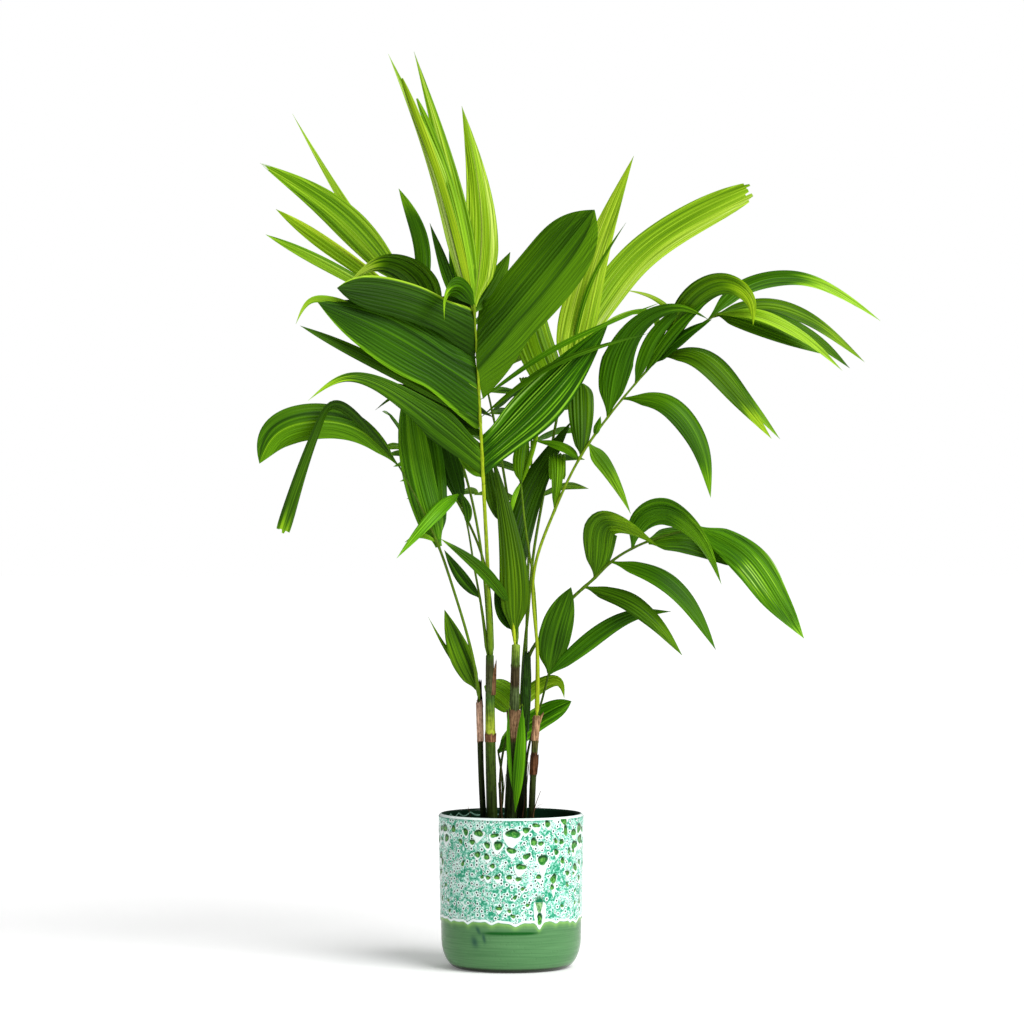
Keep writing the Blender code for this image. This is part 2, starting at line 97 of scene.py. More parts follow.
def blend_colours(tree, factor, first, second):
    """The output that mixes two colours, each a hex code or another node's output."""
    sides = [linear(c) if isinstance(c, str) else c for c in (first, second)]
    return add(tree, "Mix", {"data_type": "RGBA"}, {0: factor, 6: sides[0], 7: sides[1]}).outputs[2]


def palette(*codes):
    """Linear colours, one row for each hex code."""
    return np.array([linear(code)[:3] for code in codes])


def shade(table, place, at=None):
    """Colours read from a table at fractional places. at gives the table's own places where they aren't 0, 1, 2..."""
    at = np.arange(len(table)) if at is None else at
    return np.stack([np.interp(place, at, column) for column in np.asarray(table).T], axis=-1)


def calculate(tree, operation, *values):
    """The output of one sum. Each value is a number or another node's output."""
    return add(tree, "Math", {"operation": operation}, dict(enumerate(values))).outputs[0]


def ramp(tree, value, low, high):
    """0 below low and 1 above high, with a smooth step between."""
    settings = {"interpolation_type": "SMOOTHSTEP"}
    return add(tree, "MapRange", settings, {"Value": value, "From Min": low, "From Max": high}).outputs[0]


def noise(tree, place, scale, detail, roughness=0.5):
    """A cloudy pattern from 0 to 1. scale is how many patches fit in one unit of place."""
    inputs = {"Vector": place, "Scale": scale, "Detail": detail, "Roughness": roughness}
    return add(tree, "TexNoise", None, inputs).outputs[0]


def stretched(tree, place, *scale):
    """The same places drawn out by a factor for each axis."""
    return add(tree, "Mapping", None, {"Vector": place, "Scale": scale}).outputs[0]


def clothe(tree, shader, colour, height, strength, distance):
    """Joins a colour and a pattern of heights to the shader. distance is how far the pattern stands out, in mm."""
    tree.links.new(colour, shader.inputs["Base Color"])
    bump = add(tree, "Bump", None, {"Height": height, "Strength": strength, "Distance": distance * MM})
    tree.links.new(bump.outputs[0], shader.inputs["Normal"])


# %% [markdown]
# ## Paths
#
# Stalks, ribs and leaflets all follow smooth curves through a few places. A natural cubic curve is what a thin
# springy strip does when it is pinned at those places, which suits a plant. Along a curve each piece needs its
# direction, and a sideways direction that doesn't twist: it is carried on from one step to the next.

# %% Curves and frames along them
def spline(places, count):
    """Evenly spaced points on the natural cubic curve through these places."""
    places = np.asarray(places, float)
    knots = np.concatenate([[0], np.cumsum(np.linalg.norm(np.diff(places, axis=0), axis=1))])
    step = np.diff(knots)
    system = np.eye(len(places))
    right = np.zeros_like(places)
    for i in range(1, len(places) - 1):
        system[i, i - 1:i + 2] = step[i - 1], 2 * (step[i - 1] + step[i]), step[i]
        right[i] = 6 * ((places[i + 1] - places[i]) / step[i] - (places[i] - places[i - 1]) / step[i - 1])
    bend = np.linalg.solve(system, right)
    along = np.linspace(0, knots[-1], count)
    i = np.clip(np.searchsorted(knots, along, side="right") - 1, 0, len(step) - 1)
    before = (along - knots[i])[:, None]
    after = (knots[i + 1] - along)[:, None]
    width = step[i][:, None]
    curved = (bend[i] * after**3 + bend[i + 1] * before**3) / (6 * width)
    low = (places[i] / width - bend[i] * width / 6) * after
    high = (places[i + 1] / width - bend[i + 1] * width / 6) * before
    return curved + low + high


def unit(vector):
    return vector / np.linalg.norm(vector)


def directions(points):
    steps = np.gradient(points, axis=0)
    return steps / np.linalg.norm(steps, axis=1)[:, None]


def path_length(points):
    return np.linalg.norm(np.diff(points, axis=0), axis=1).sum()


def stretch(curve, shares):
    """Points and directions at these shares of a curve's length."""
    length = np.concatenate([[0], np.cumsum(np.linalg.norm(np.diff(curve, axis=0), axis=1))])
    values = np.concatenate([curve, directions(curve)], axis=1)
    found = np.stack([np.interp(np.asarray(shares) * length[-1], length, column) for column in values.T], axis=1)
    return found[:, :3], found[:, 3:]


def smooth(value):
    value = np.clip(value, 0, 1)
    return value * value * (3 - 2 * value)


def fade(inside, width):
    """0 outside an edge and 1 inside it, from how far inside a place is and how wide the edge fades."""
    return smooth(inside / width + 0.5)


# %% [markdown]
# ## From arrays to meshes
#
# Leaflets, ribs, canes and the pot are all grids of points, so one class collects grids and turns them into one
# mesh. A grid may be closed round, as a tube is. Arrays are far quicker than adding faces one at a time. Colour is
# painted on the points, so it can fade along a leaf or a cane as it does on the plant, and the material only adds
# the fine grain.

# %% A builder that joins grids of points
class Grids:
    def __init__(self):
        self.points = []
        self.quads = []
        self.slots = []
        self.places = []
        self.paint = []
        self.count = 0

    def add(self, points, paint=(1, 1, 1), slot=0, places=None, closed=False):
        """points is rows x columns x 3, and paint is a linear colour for each point, each row or all of them."""
        rows, columns = points.shape[:2]
        across = columns if closed else columns - 1
        row, column = np.meshgrid(np.arange(rows - 1), np.arange(across), indexing="ij")
        after = (column + 1) % columns
        first, second = row * columns, (row + 1) * columns
        corners = [first + column, first + after, second + after, second + column]
        self.quads.append(np.stack(corners, axis=-1).reshape(-1, 4) + self.count)
        self.slots.append(np.full(len(self.quads[-1]), slot))
        if places is None:
            places = np.zeros((rows, columns, 2))
        self.places.append(places.reshape(-1, 2))
        self.paint.append(np.broadcast_to(paint, (rows, columns, 3)).reshape(-1, 3))
        self.points.append(points.reshape(-1, 3))
        self.count += rows * columns

    def build(self, name, materials, replaced, values=None):
        """One object that rides with the plant and stands for the CAD nodes it replaces."""
        points = np.concatenate(self.points) * MM
        quads = np.concatenate(self.quads)
        mesh = bpy.data.meshes.new(name)
        mesh.vertices.add(len(points))
        mesh.vertices.foreach_set("co", points.ravel())
        mesh.loops.add(quads.size)
        mesh.loops.foreach_set("vertex_index", quads.ravel())
        mesh.polygons.add(len(quads))
        mesh.polygons.foreach_set("loop_start", np.arange(0, quads.size, 4))
        mesh.polygons.foreach_set("material_index", np.concatenate(self.slots).astype(np.int32))
        mesh.polygons.foreach_set("use_smooth", np.ones(len(quads), bool))
        mesh.update(calc_edges=True)
        along = mesh.uv_layers.new(name="surface")
        along.data.foreach_set("uv", np.concatenate(self.places)[quads.ravel()].ravel())
        colours = np.append(np.concatenate(self.paint), np.ones((len(points), 1)), axis=1)
        mesh.attributes.new("paint", "FLOAT_COLOR", "POINT").data.foreach_set("color", colours.ravel())
        for key, value in (values or {}).items():
            mesh.attributes.new(key, "FLOAT", "POINT").data.foreach_set("value", value.ravel())
        for finish in materials:
            mesh.materials.append(finish)
        made = bpy.data.objects.new(name, mesh)
        bpy.context.scene.collection.objects.link(made)
        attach(made, "root")
        if replaced:
            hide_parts(*replaced)


def tube(points, radii, sides, shape=None):
    """Rings round a path. shape gives a factor on the radius from the share along it and the angle round it."""
    rings = []
    across = np.array([0.0, -1.0, 0.0])
    angles = np.arange(sides) * math.tau / sides
    for i, (centre, forward) in enumerate(zip(points, directions(points))):
        across = unit(across - np.dot(across, forward) * forward)
        other = np.cross(forward, across)
        radius = radii[i] * (shape(i / (len(points) - 1), angles) if shape else np.ones(sides))
        rings.append(centre + radius[:, None] * (np.cos(angles)[:, None] * across + np.sin(angles)[:, None] * other))
    return np.array(rings)


def capped(rings):
    """The same rings with both ends drawn in over a low dome."""
    first, last = rings[0].mean(axis=0), rings[-1].mean(axis=0)
    out = unit(last - rings[-2].mean(axis=0)) * np.linalg.norm(rings[-1][0] - last) * 0.35
    dome = [last + (rings[-1] - last) * reach + out * rise for reach, rise in ((0.8, 0.5), (0.45, 0.9), (0.04, 1.0))]
    return np.concatenate([[first + (rings[0] - first) * 0.04], rings, dome])


# %% [markdown]
# ## Camera, light and floor
#
# The camera stands 6.3 m away and level with the middle of the crown, with a long lens, so the crown is drawn with
# hardly any perspective. The room is a white studio. One broad hard-working light comes from the right and the
# front, a weak one from behind, and the white room fills the rest. The room looks fully white to the camera but
# gives less light than that, and still less in reflections, as when a photographer sets up dark flags: leaves keep
# their deep green. The floor is a luminous white board, and takes a soft shadow behind the pot on the left.

# %% Camera
scene = bpy.context.scene
CAMERA_DISTANCE = 6.3
CAMERA_HEIGHT = 0.736
FRAME_PIXELS = 1024
FOCAL_PIXELS = 4038
CENTRE = (511.1, 495.0)  # where the level line through the camera meets the picture, in its pixels
camera = bpy.data.objects.new("camera", bpy.data.cameras.new("camera"))
scene.collection.objects.link(camera)
scene.camera = camera
camera.location = (0, -CAMERA_DISTANCE, CAMERA_HEIGHT)
camera.rotation_euler = (math.pi / 2, 0, 0)
camera.data.sensor_width = 36
camera.data.lens = FOCAL_PIXELS / FRAME_PIXELS * camera.data.sensor_width
camera.data.shift_x = (FRAME_PIXELS / 2 - CENTRE[0]) / FRAME_PIXELS
camera.data.shift_y = (CENTRE[1] - FRAME_PIXELS / 2) / FRAME_PIXELS
scene.view_settings.view_transform = "Standard"
print("lens", round(camera.data.lens, 1), "mm")

# %% Lamps and surroundings
def lamp(name, kind, toward, target, distance=3.0, **settings):
    """A lamp placed in a direction from its target and aimed at it."""
    made = bpy.data.objects.new(name, bpy.data.lights.new(name, kind))
    scene.collection.objects.link(made)
    way = np.array(toward, float) / np.linalg.norm(toward)
    made.location = np.array(target) + way * distance
    made.rotation_euler = (math.acos(way[2]), 0, math.atan2(way[0], -way[1]))
    for key, value in settings.items():
        setattr(made.data, key, value)


MIDDLE = (0.0, 0.0, 0.75)
lamp("key light", "SUN", (0.57, -0.60, 0.58), MIDDLE, energy=3.45, angle=0.8)
lamp("light from behind", "AREA", (0.5, 0.75, 0.75), MIDDLE, energy=8, size=1.4)

world = bpy.data.worlds.new("white studio")
scene.world = world
world.use_nodes = True
SEEN_WHITE = 1.0  # how bright the room looks to the camera
SHED_LIGHT = 0.33  # how much light it gives
REFLECTED = 0.06  # how bright it is in reflections
rays = add(world.node_tree, "LightPath")
shed = calculate(world.node_tree, "MULTIPLY_ADD", rays.outputs["Is Glossy Ray"], REFLECTED - SHED_LIGHT, SHED_LIGHT)
strength = add(world.node_tree, "Mix", None, {0: rays.outputs["Is Camera Ray"], 2: shed, 3: SEEN_WHITE})
background = world.node_tree.nodes["Background"]
background.inputs["Color"].default_value = linear("#ffffff")
world.node_tree.links.new(strength.outputs[0], background.inputs["Strength"])

# %% Floor
FLOOR_HALF = 30.0  # m
floor_mesh = bpy.data.meshes.new("studio_floor")
corners = [(x * FLOOR_HALF, y * FLOOR_HALF, 0) for x, y in ((-1, -1), (1, -1), (1, 1), (-1, 1))]
floor_mesh.from_pydata(corners, [], [(0, 1, 2, 3)])
floor = bpy.data.objects.new("studio_floor", floor_mesh)
scene.collection.objects.link(floor)
# Matt white acrylic board, lit a little from below, so its far edge is as white as the room.
board = start_material("luminous white board", Base_Color=linear("#ffffff"), Roughness=0.9,
                       Emission_Color=linear("#ffffff"), Emission_Strength=0.13, Specular_IOR_Level=0.0)
floor_mesh.materials.append(board[0])

# %% [markdown]
# ## Leaf surface
#
# A palm leaflet is a tough blade with a thin waxy skin, folded lengthwise over its veins. Old blades are deep green,
# and young or thin ones run to lime and pale yellow; on thin blades lit from behind the light tints also stand for
# light shining through them, painted in. A row of tints goes from one to the other, and a leaflet's colour is a place
# in that row, which can lie between two tints. Within a tint, fine streaks follow the veins.
#
# The waxy skin gives a satin gloss: an IOR of about 1.45 and a roughness near 0.4.

# %% Leaf and stalk materials
TINTS = palette("#274803", "#3e6a06", "#588709", "#75a412", "#90bb1f", "#abcf38", "#d2e48a")
DEEP, DARK, MID, FRESH, BRIGHT, LIME, PALE = range(7)
STALK_TINTS = palette("#25350a", "#3c560e", "#5a7c16", "#7b981c", "#9db41f", "#b4c628", "#d0da58")
VEIN = 1.1  # mm between veins
STREAK = 170.0  # mm that one streak runs along the blade
BLOTCHES = 190.0  # blotches to a metre on stalks, canes and sheaths

blade_material, tree, shader = start_material("areca leaf", Base_Color=linear("#47760f"), Roughness=0.38, IOR=1.45,
                                              Specular_IOR_Level=0.07)
place = add(tree, "UVMap", {"uv_map": "surface"}).outputs[0]
veins = noise(tree, stretched(tree, place, 1 / VEIN, 1 / STREAK, 1), 1, 2)
clothe(tree, shader, painted(tree, "#a9b68e", ramp(tree, veins, 0.32, 0.62)), veins, 0.3, 0.3)


def fibrous_material(name, darkest, roughness, grain, relief):
    """A surface of fibres that run up the plant. grain is fibres to a metre, across and along; relief is in mm."""
    made, tree, shader = start_material(name, Base_Color=linear("#4a5a20"), Roughness=roughness, IOR=1.45,
                                        Specular_IOR_Level=0.1)
    place = add(tree, "TexCoord").outputs["Object"]
    fibres = noise(tree, stretched(tree, place, grain[0], grain[0], grain[1]), 1, 3)
    both = calculate(tree, "MULTIPLY_ADD", noise(tree, place, BLOTCHES, 3), 0.35, fibres)
    clothe(tree, shader, painted(tree, darkest, ramp(tree, both, 0.52, 0.80)), fibres, 0.5, relief)
    return made


stalk_material = fibrous_material("living leaf stalk", "#c8ccb4", 0.38, (900, 18), 0.3)
cane_material = fibrous_material("ringed green cane", "#9a9a88", 0.45, (700, 30), 0.3)
dry_material = fibrous_material("dry papery sheath", "#8a8078", 0.8, (800, 40), 0.6)
print(len(TINTS), "leaf tints")

# %% [markdown]
# ## What each frond carries
#
# A frond is a rib and its leaflets. Every leaflet has its own bend, width and outline, because that is what makes a
# real plant uneven, so they are listed. A path is measured from the place on the rib where the leaflet grows. Its
# tint may change towards the tip or along one edge, where a real leaflet is thinner, folded over or worn.
#
# An outline is four numbers: the width at the base, where along it the full width is reached, how long the leaflet
# keeps it before it narrows, and how much of it is left at a cut or torn end.

# %% The parts of a frond
LANCE = (0.35, 0.42, 1.7, 0)
SLIM = (0.12, 0.55, 1.9, 0)
SPEAR = (0.40, 0.28, 1.25, 0)
BROAD = (0.60, 0.45, 2.6, 0)
FULL = (0.60, 0.50, 4.0, 0)
BLUNT = (0.45, 0.35, 5.0, 0)
SQUARE = (0.45, 0.35, 6.0, 0.5)
STRAP = (0.80, 0.30, 7.0, 0.2)
CUT = (0.30, 0.62, 9.0, 0.7)
TAPER = (0.50, 0.30, 0.75, 0)
WILLOW = (0.30, 0.55, 2.4, 0)
CREASED = (0.28, 0.40, 1.05, 0)
SPOON = (0.08, 0.66, 2.6, 0)
PADDLE = (0.28, 0.42, 2.4, 0)
FRONT = (0.0, -1.0, 0.25)  # the way a blade's broad side faces before its leaflets bend
UPWARD = (0.0, -0.75, 0.65)
BEHIND = (0.0, 0.45, 0.9)


@dataclass
class Leaf:
    at: float  # share of the frond's length where it grows
    path: list
    width: float
    tint: float  # a place in the row of tints, as are the tip, edge and midrib tints
    shape: tuple = LANCE
    attached: float = 0.0  # length of rib that a broad leaflet is joined to
    roll: tuple = (0, 0)  # degrees about its own midline, at the base and at the tip
    tip: tuple = (2.0, 0)  # share from which the tip has this other tint
    edge: tuple = (0, 0.0, 0)  # side, share of the width, tint
    midrib: int = -1
    ragged: float = 0.0
    streaky: int = 1
    painted_highlight: tuple = (0, 0)  # shares of the length between which some veins get pale painted highlight streaks
    warmth: float = 1.0  # factor on red, lower for a cooler green


@dataclass
class Frond:
    name: str
    rib: list
    neck: float
    foot_radius: float
    face: tuple
    stalk: tuple  # tints at the foot and at the neck
    leaves: list = field(default_factory=list)
    split: bool = False


def leaf_pairs(first, count, length, width, along):
    """Leaflets in pairs to both sides of a rib: each leans along the rib, goes out to its side and droops."""
    leaves = []
    ahead = np.array(along, float)
    for i in range(count):
        at = first + (0.96 - first) * i / (count - 1)
        reach = length * (1 - 0.3 * i / (count - 1))
        for side in (-1, 1):
            out = np.array([side, 0, 0])
            middle = reach * (0.34 * out + 0.32 * ahead - np.array([0, 0, 0.03]))
            tip = reach * (0.60 * out + 0.58 * ahead - np.array([0, 0, 0.22]))
            leaves.append(Leaf(at + 0.01 * side, [tuple(middle), tuple(tip)], width, (MID, DARK)[i % 2],
                               tip=(0.85, FRESH)))
    return leaves


# %% Fronds of the thick cane on the left
FRONDS = [
    Frond("front", [(-32, -18.6, 486), (-37, -32, 635), (-44, -48, 775), (-49, -62, 883), (-57, -75, 1029)],
          0.49, 3.0, FRONT, (2, 4.4), [
        # The spears get light tints: partly their young yellow-green, partly painted light shining through them from
        # behind.
        Leaf(0.98, [(-55, 15, 210), (-135, 65, 405)], 34, BRIGHT, SPEAR, streaky=4),
        Leaf(0.99, [(-35, 25, 190), (-95, 80, 405)], 36, 3.7, SPEAR, streaky=4),
        Leaf(1.00, [(10, 20, 125), (-20, 65, 315)], 56, 4.2, SPEAR, streaky=3),
        Leaf(1.00, [(-22, -20, 26), (-40, -50, 18), (-45, -60, -25)], 34, DARK, tip=(0.6, BRIGHT)),
        Leaf(0.98, [(-50, 3, 195), (-113, 52, 366)], 12, 3.3, STRAP, warmth=1.1),
        Leaf(0.99, [(-30, 8, 165), (-90, 62, 330)], 14, 3.6, STRAP, warmth=1.1),
        Leaf(0.865, [(80, -45, 90), (180, -80, 215)], 99, 1.1, FULL, attached=146, edge=(1, 0.3, 2.0),
             warmth=0.9),
        Leaf(0.92, [(-110, -50, 50), (-210, -95, 65)], 58, 0.0, FULL, attached=74, edge=(1, 0.06, LIME)),
        Leaf(0.76, [(-145, -55, 88), (-244, -96, 130)], 92, 0.6, (0.4, 0.42, 2.2, 0), attached=130,
             edge=(-1, 0.06, FRESH), warmth=1.05),
        Leaf(0.76, [(-145, -46, 92), (-226, -86, 134), (-252, -97, 134), (-277, -106, 97)], 17, 3.3, WILLOW,
             tip=(0.9, LIME)),
        Leaf(0.67, [(-125, -30, 72), (-275, -70, 145)], 21, 1.2, WILLOW),
        Leaf(0.56, [(-120, -45, 95), (-210, -70, 125), (-265, -85, 90)], 54, 1.0, TAPER, attached=50,
             tip=(0.8, BRIGHT), warmth=1.05),
        Leaf(0.73, [(100, -45, 70), (280, -30, 150)], 12, MID, roll=(35, 20)),
        Leaf(0.68, [(100, -35, 75), (260, -20, 130)], 12, DARK, roll=(35, 20)),
        Leaf(0.57, [(75, -25, 70), (195, -30, 205)], 74, 1.0, attached=64, streaky=3,
             painted_highlight=(0.04, 0.8), warmth=0.85),
        Leaf(0.51, [(-20, 5, 20), (-45, 10, 45)], 20, MID),
        Leaf(0.97, [(-30, 25, 16), (-62, 45, 30)], 42, 0.4),
        Leaf(0.98, [(26, 25, 40), (55, 40, 95)], 34, 1.6),
        Leaf(0.88, [(-60, 30, 6), (-135, 55, 16)], 54, 0.2, streaky=2),
        Leaf(0.63, [(-60, 35, 42), (-130, 60, 82)], 46, 0.1, streaky=2),
    ]),
    Frond("upper_left", [(-33.8, -11.4, 486), (-45, -2, 635), (-69, 15, 759), (-112, 50, 885), (-173, 95, 1069)],
          0.62, 2.1, FRONT, (MID, MID), [
        Leaf(1.00, [(-106, 35, 120), (-230, 55, 200)], 52, 2.9, ragged=0.06, streaky=2, warmth=0.95),
        Leaf(0.99, [(-95, 65, 140), (-180, 95, 285)], 18, DARK, SPEAR, tip=(0.45, LIME)),
        Leaf(0.95, [(-125, 20, 90), (-210, 30, 150)], 25, 3.1, WILLOW, edge=(1, 0.3, LIME)),
        Leaf(0.92, [(-120, -5, 70), (-230, 5, 125)], 20, BRIGHT, WILLOW, streaky=2),
        Leaf(0.85, [(-5, -35, 88), (-52, -50, 114), (-103, -70, 90)], 62, 0.9, (0.6, 0.38, 1.3, 0), tip=(0.8, LIME),
             streaky=2, warmth=0.92),
        Leaf(0.89, [(10, 20, 130), (-25, 10, 215)], 26, 1.2, WILLOW, tip=(0.85, FRESH)),
        Leaf(0.70, [(-50, -35, 0), (-95, -55, -30)], 8, MID),
        Leaf(0.75, [(-40, -25, 5), (-70, -20, 20)], 8, MID),
    ]),
    Frond("left_inner", [(-36.6, -15.2, 486), (-48, -12, 572), (-58, -6, 627), (-70, 6, 697), (-81, 14, 738),
                         (-100, 28, 799)], 0.24, 2.1, FRONT, (MID, MID), [
        Leaf(0.73, [(-25, 5, 85), (-50, 5, 195)], 36, DEEP),
        Leaf(0.64, [(0, -5, 25), (-10, -5, 50)], 14, DARK),
        Leaf(0.80, [(-30, -60, -25), (-95, -90, -100)], 22, FRESH, tip=(0.8, BRIGHT), warmth=0.72),
        Leaf(0.28, [(-30, -10, 35), (-55, -20, 75)], 20, DEEP, streaky=2),
    ]),
]

# %% Fronds of the thin cane on the far left
FRONDS += [
    Frond("left_low", [(-49.2, -2.6, 416), (-59, -12, 479), (-89, -20, 587), (-114, -25, 660), (-134, -28, 705),
                       (-174, -35, 781)], 0.62, 2.2, FRONT, (MID, MID), [
        Leaf(1.00, [(-60, -15, 56), (-140, -40, 69), (-190, -50, 48), (-214, -55, 5)], 57, 1.2, SPOON,
             edge=(-1, 0.5, 2.1), midrib=BRIGHT, warmth=0.9),
        Leaf(1.00, [(-55, -25, 63), (-105, -50, 92), (-120, -55, 65), (-180, -75, -110)], 28, 0.6, CUT,
             roll=(75, 0), tip=(0.93, BRIGHT), ragged=0.04, streaky=2),
        Leaf(0.64, [(-30, 5, 105), (-50, -5, 250)], 50, 2.0, BROAD, streaky=2, warmth=0.85),
        Leaf(0.66, [(-5, 20, 100), (-28, 25, 235)], 38, 0.8, BROAD),
        Leaf(0.66, [(-25, -5, 10), (-50, -10, 0)], 8, FRESH),
    ], split=True),
    Frond("low_left", [(-49.2, 2.3, 416), (-52, 4, 425), (-55, 3, 438)], 0.4, 1.7, FRONT, (FRESH, FRESH), [
        Leaf(0.75, [(-25, -10, 55), (-50, -10, 125)], 36, 1.4, streaky=2),
        Leaf(0.90, [(-40, 0, 50), (-75, 5, 110)], 10, MID, SPEAR),
    ]),
]

# %% Fronds of the middle cane
FRONDS += [
    Frond("centre", [(6, -13.5, 502), (1, -12, 563), (-8, 2, 658), (-17, 12, 728)], 0.03, 2.6, FRONT, (4.2, 4.6), [
        Leaf(0.06, [(0, -5, 85), (-12, 5, 180), (-34, 13, 284)], 47, 1.0, SPEAR, streaky=2, warmth=1.1),
        Leaf(0.27, [(-50, -35, 60), (-110, -50, 105)], 20, 0.9, tip=(0.85, FRESH)),
        Leaf(0.31, [(15, 50, 130), (95, 75, 280)], 50, DEEP),
        Leaf(0.10, [(-16, 10, 25), (-30, 12, 66)], 20, DEEP),
        Leaf(0.83, [(-15, 5, 40), (-25, 15, 110)], 24, DARK),
    ]),
    Frond("low_front", [(12.2, -15.4, 399), (14, -17.5, 406), (17, -21.5, 411), (18.5, -25, 407)], 0.3, 0.8, FRONT,
          (FRESH, FRESH), [
        Leaf(0.97, [(-5, -8, -85), (-12, -4, -166)], 18, 1.7, SLIM, edge=(-1, 0.15, 2.4), warmth=0.85),
    ]),
    Frond("low_front_thin", [(-0.6, -17.5, 400), (-1.8, -19.2, 406), (-3.2, -21.5, 409), (-4.5, -24, 406)], 0.3, 0.8,
          FRONT, (FRESH, FRESH), [
        Leaf(0.97, [(1, -5, -80), (9, -3, -142)], 7, 1.9, SLIM, warmth=0.85),
    ]),
]

# %% Fronds of the right-hand cane
FRONDS += [
    Frond("right_high", [(40, -2.7, 391), (40, -3, 510), (35, -4, 610), (64, -6, 703), (106, -5, 792), (143, 0, 847),
                         (203, 8, 920), (275, 15, 989), (329, 20, 1022)], 0.42, 2.5, UPWARD, (4.5, 3), [
        Leaf(0.57, [(0, 10, 60), (-1, 22, 113)], 41, 0.9, (0.28, 0.72, 4.0, 0.25)),
        Leaf(0.60, [(30, -5, -40), (65, -15, -110)], 28, MID, (0.45, 0.25, 1.2, 0), tip=(0.5, FRESH)),
        Leaf(0.62, [(5, -5, 15), (10, -5, 30)], 12, MID),
        Leaf(0.44, [(5, 15, 65), (5, 35, 90), (5, 65, 50)], 27, 2.6, (0.22, 0.9, 9.0, 0.85), warmth=0.85),
        Leaf(0.56, [(-15, 10, 15), (-70, 25, 30)], 18, MID),
        Leaf(0.72, [(60, -25, -5), (110, -35, -55), (135, -40, -155)], 42, 1.3, tip=(0.85, FRESH)),
        Leaf(0.67, [(10, 0, 70), (50, -10, 145), (115, -25, 168), (155, -35, 150)], 51, 1.0, (0.3, 0.32, 0.85, 0),
             tip=(0.8, 2.4), warmth=0.9),
        Leaf(0.85, [(15, 30, 60), (-20, 35, 90), (-60, 40, 100)], 10, BRIGHT, tip=(0.7, LIME)),
        Leaf(0.80, [(5, 20, 90), (-45, 30, 85), (-85, 30, 60)], 10, BRIGHT, tip=(0.7, LIME)),
        Leaf(0.76, [(30, -10, 75), (85, -20, 130)], 24, DARK),
        Leaf(0.79, [(40, -25, 60), (105, -35, 120)], 22, DARK),
        Leaf(0.82, [(42, -30, 40), (88, -44, 66)], 27, 0.6, warmth=0.9),
        Leaf(0.86, [(40, -35, 80), (90, -50, 100), (125, -60, 75), (130, -65, 35)], 40, 1.3, tip=(0.7, BRIGHT)),
        Leaf(0.84, [(45, -30, 0), (110, -45, -55), (170, -55, -130)], 36, 1.2, tip=(0.75, BRIGHT)),
        Leaf(0.85, [(55, -10, 0), (125, -10, -65), (180, -20, -135)], 30, 1.1, tip=(0.7, FRESH)),
        Leaf(0.97, [(60, 40, 55), (140, 60, 70), (275, 70, 0)], 34, 1.4, tip=(0.6, LIME)),
        Leaf(0.98, [(80, 15, 20), (160, 25, -5), (240, 30, -70)], 36, 1.5, tip=(0.7, FRESH)),
        Leaf(0.99, [(75, -20, -5), (140, -20, -30), (205, -30, -85)], 38, 1.5),
        Leaf(0.99, [(55, -50, 0), (115, -60, -25), (190, -70, -90)], 26, BRIGHT, tip=(0.3, LIME)),
        Leaf(0.99, [(45, -30, -15), (170, -35, -65)], 30, 1.3, edge=(-1, 0.3, 2.4)),
    ], split=True),
    Frond("right_inner", [(39, 2.9, 391), (40, 14, 510), (33, 14, 616), (23, 14, 681), (15, 15, 759)],
          0.96, 1.8, FRONT, (FRESH, MID), [
        Leaf(0.99, [(0, 10, 35), (10, 20, 90)], 26, MID),
        Leaf(0.98, [(15, 5, 45), (35, 15, 125)], 8, MID),
        Leaf(0.99, [(-10, -14, -22), (-17, -18, -60)], 8, FRESH),
    ]),
]

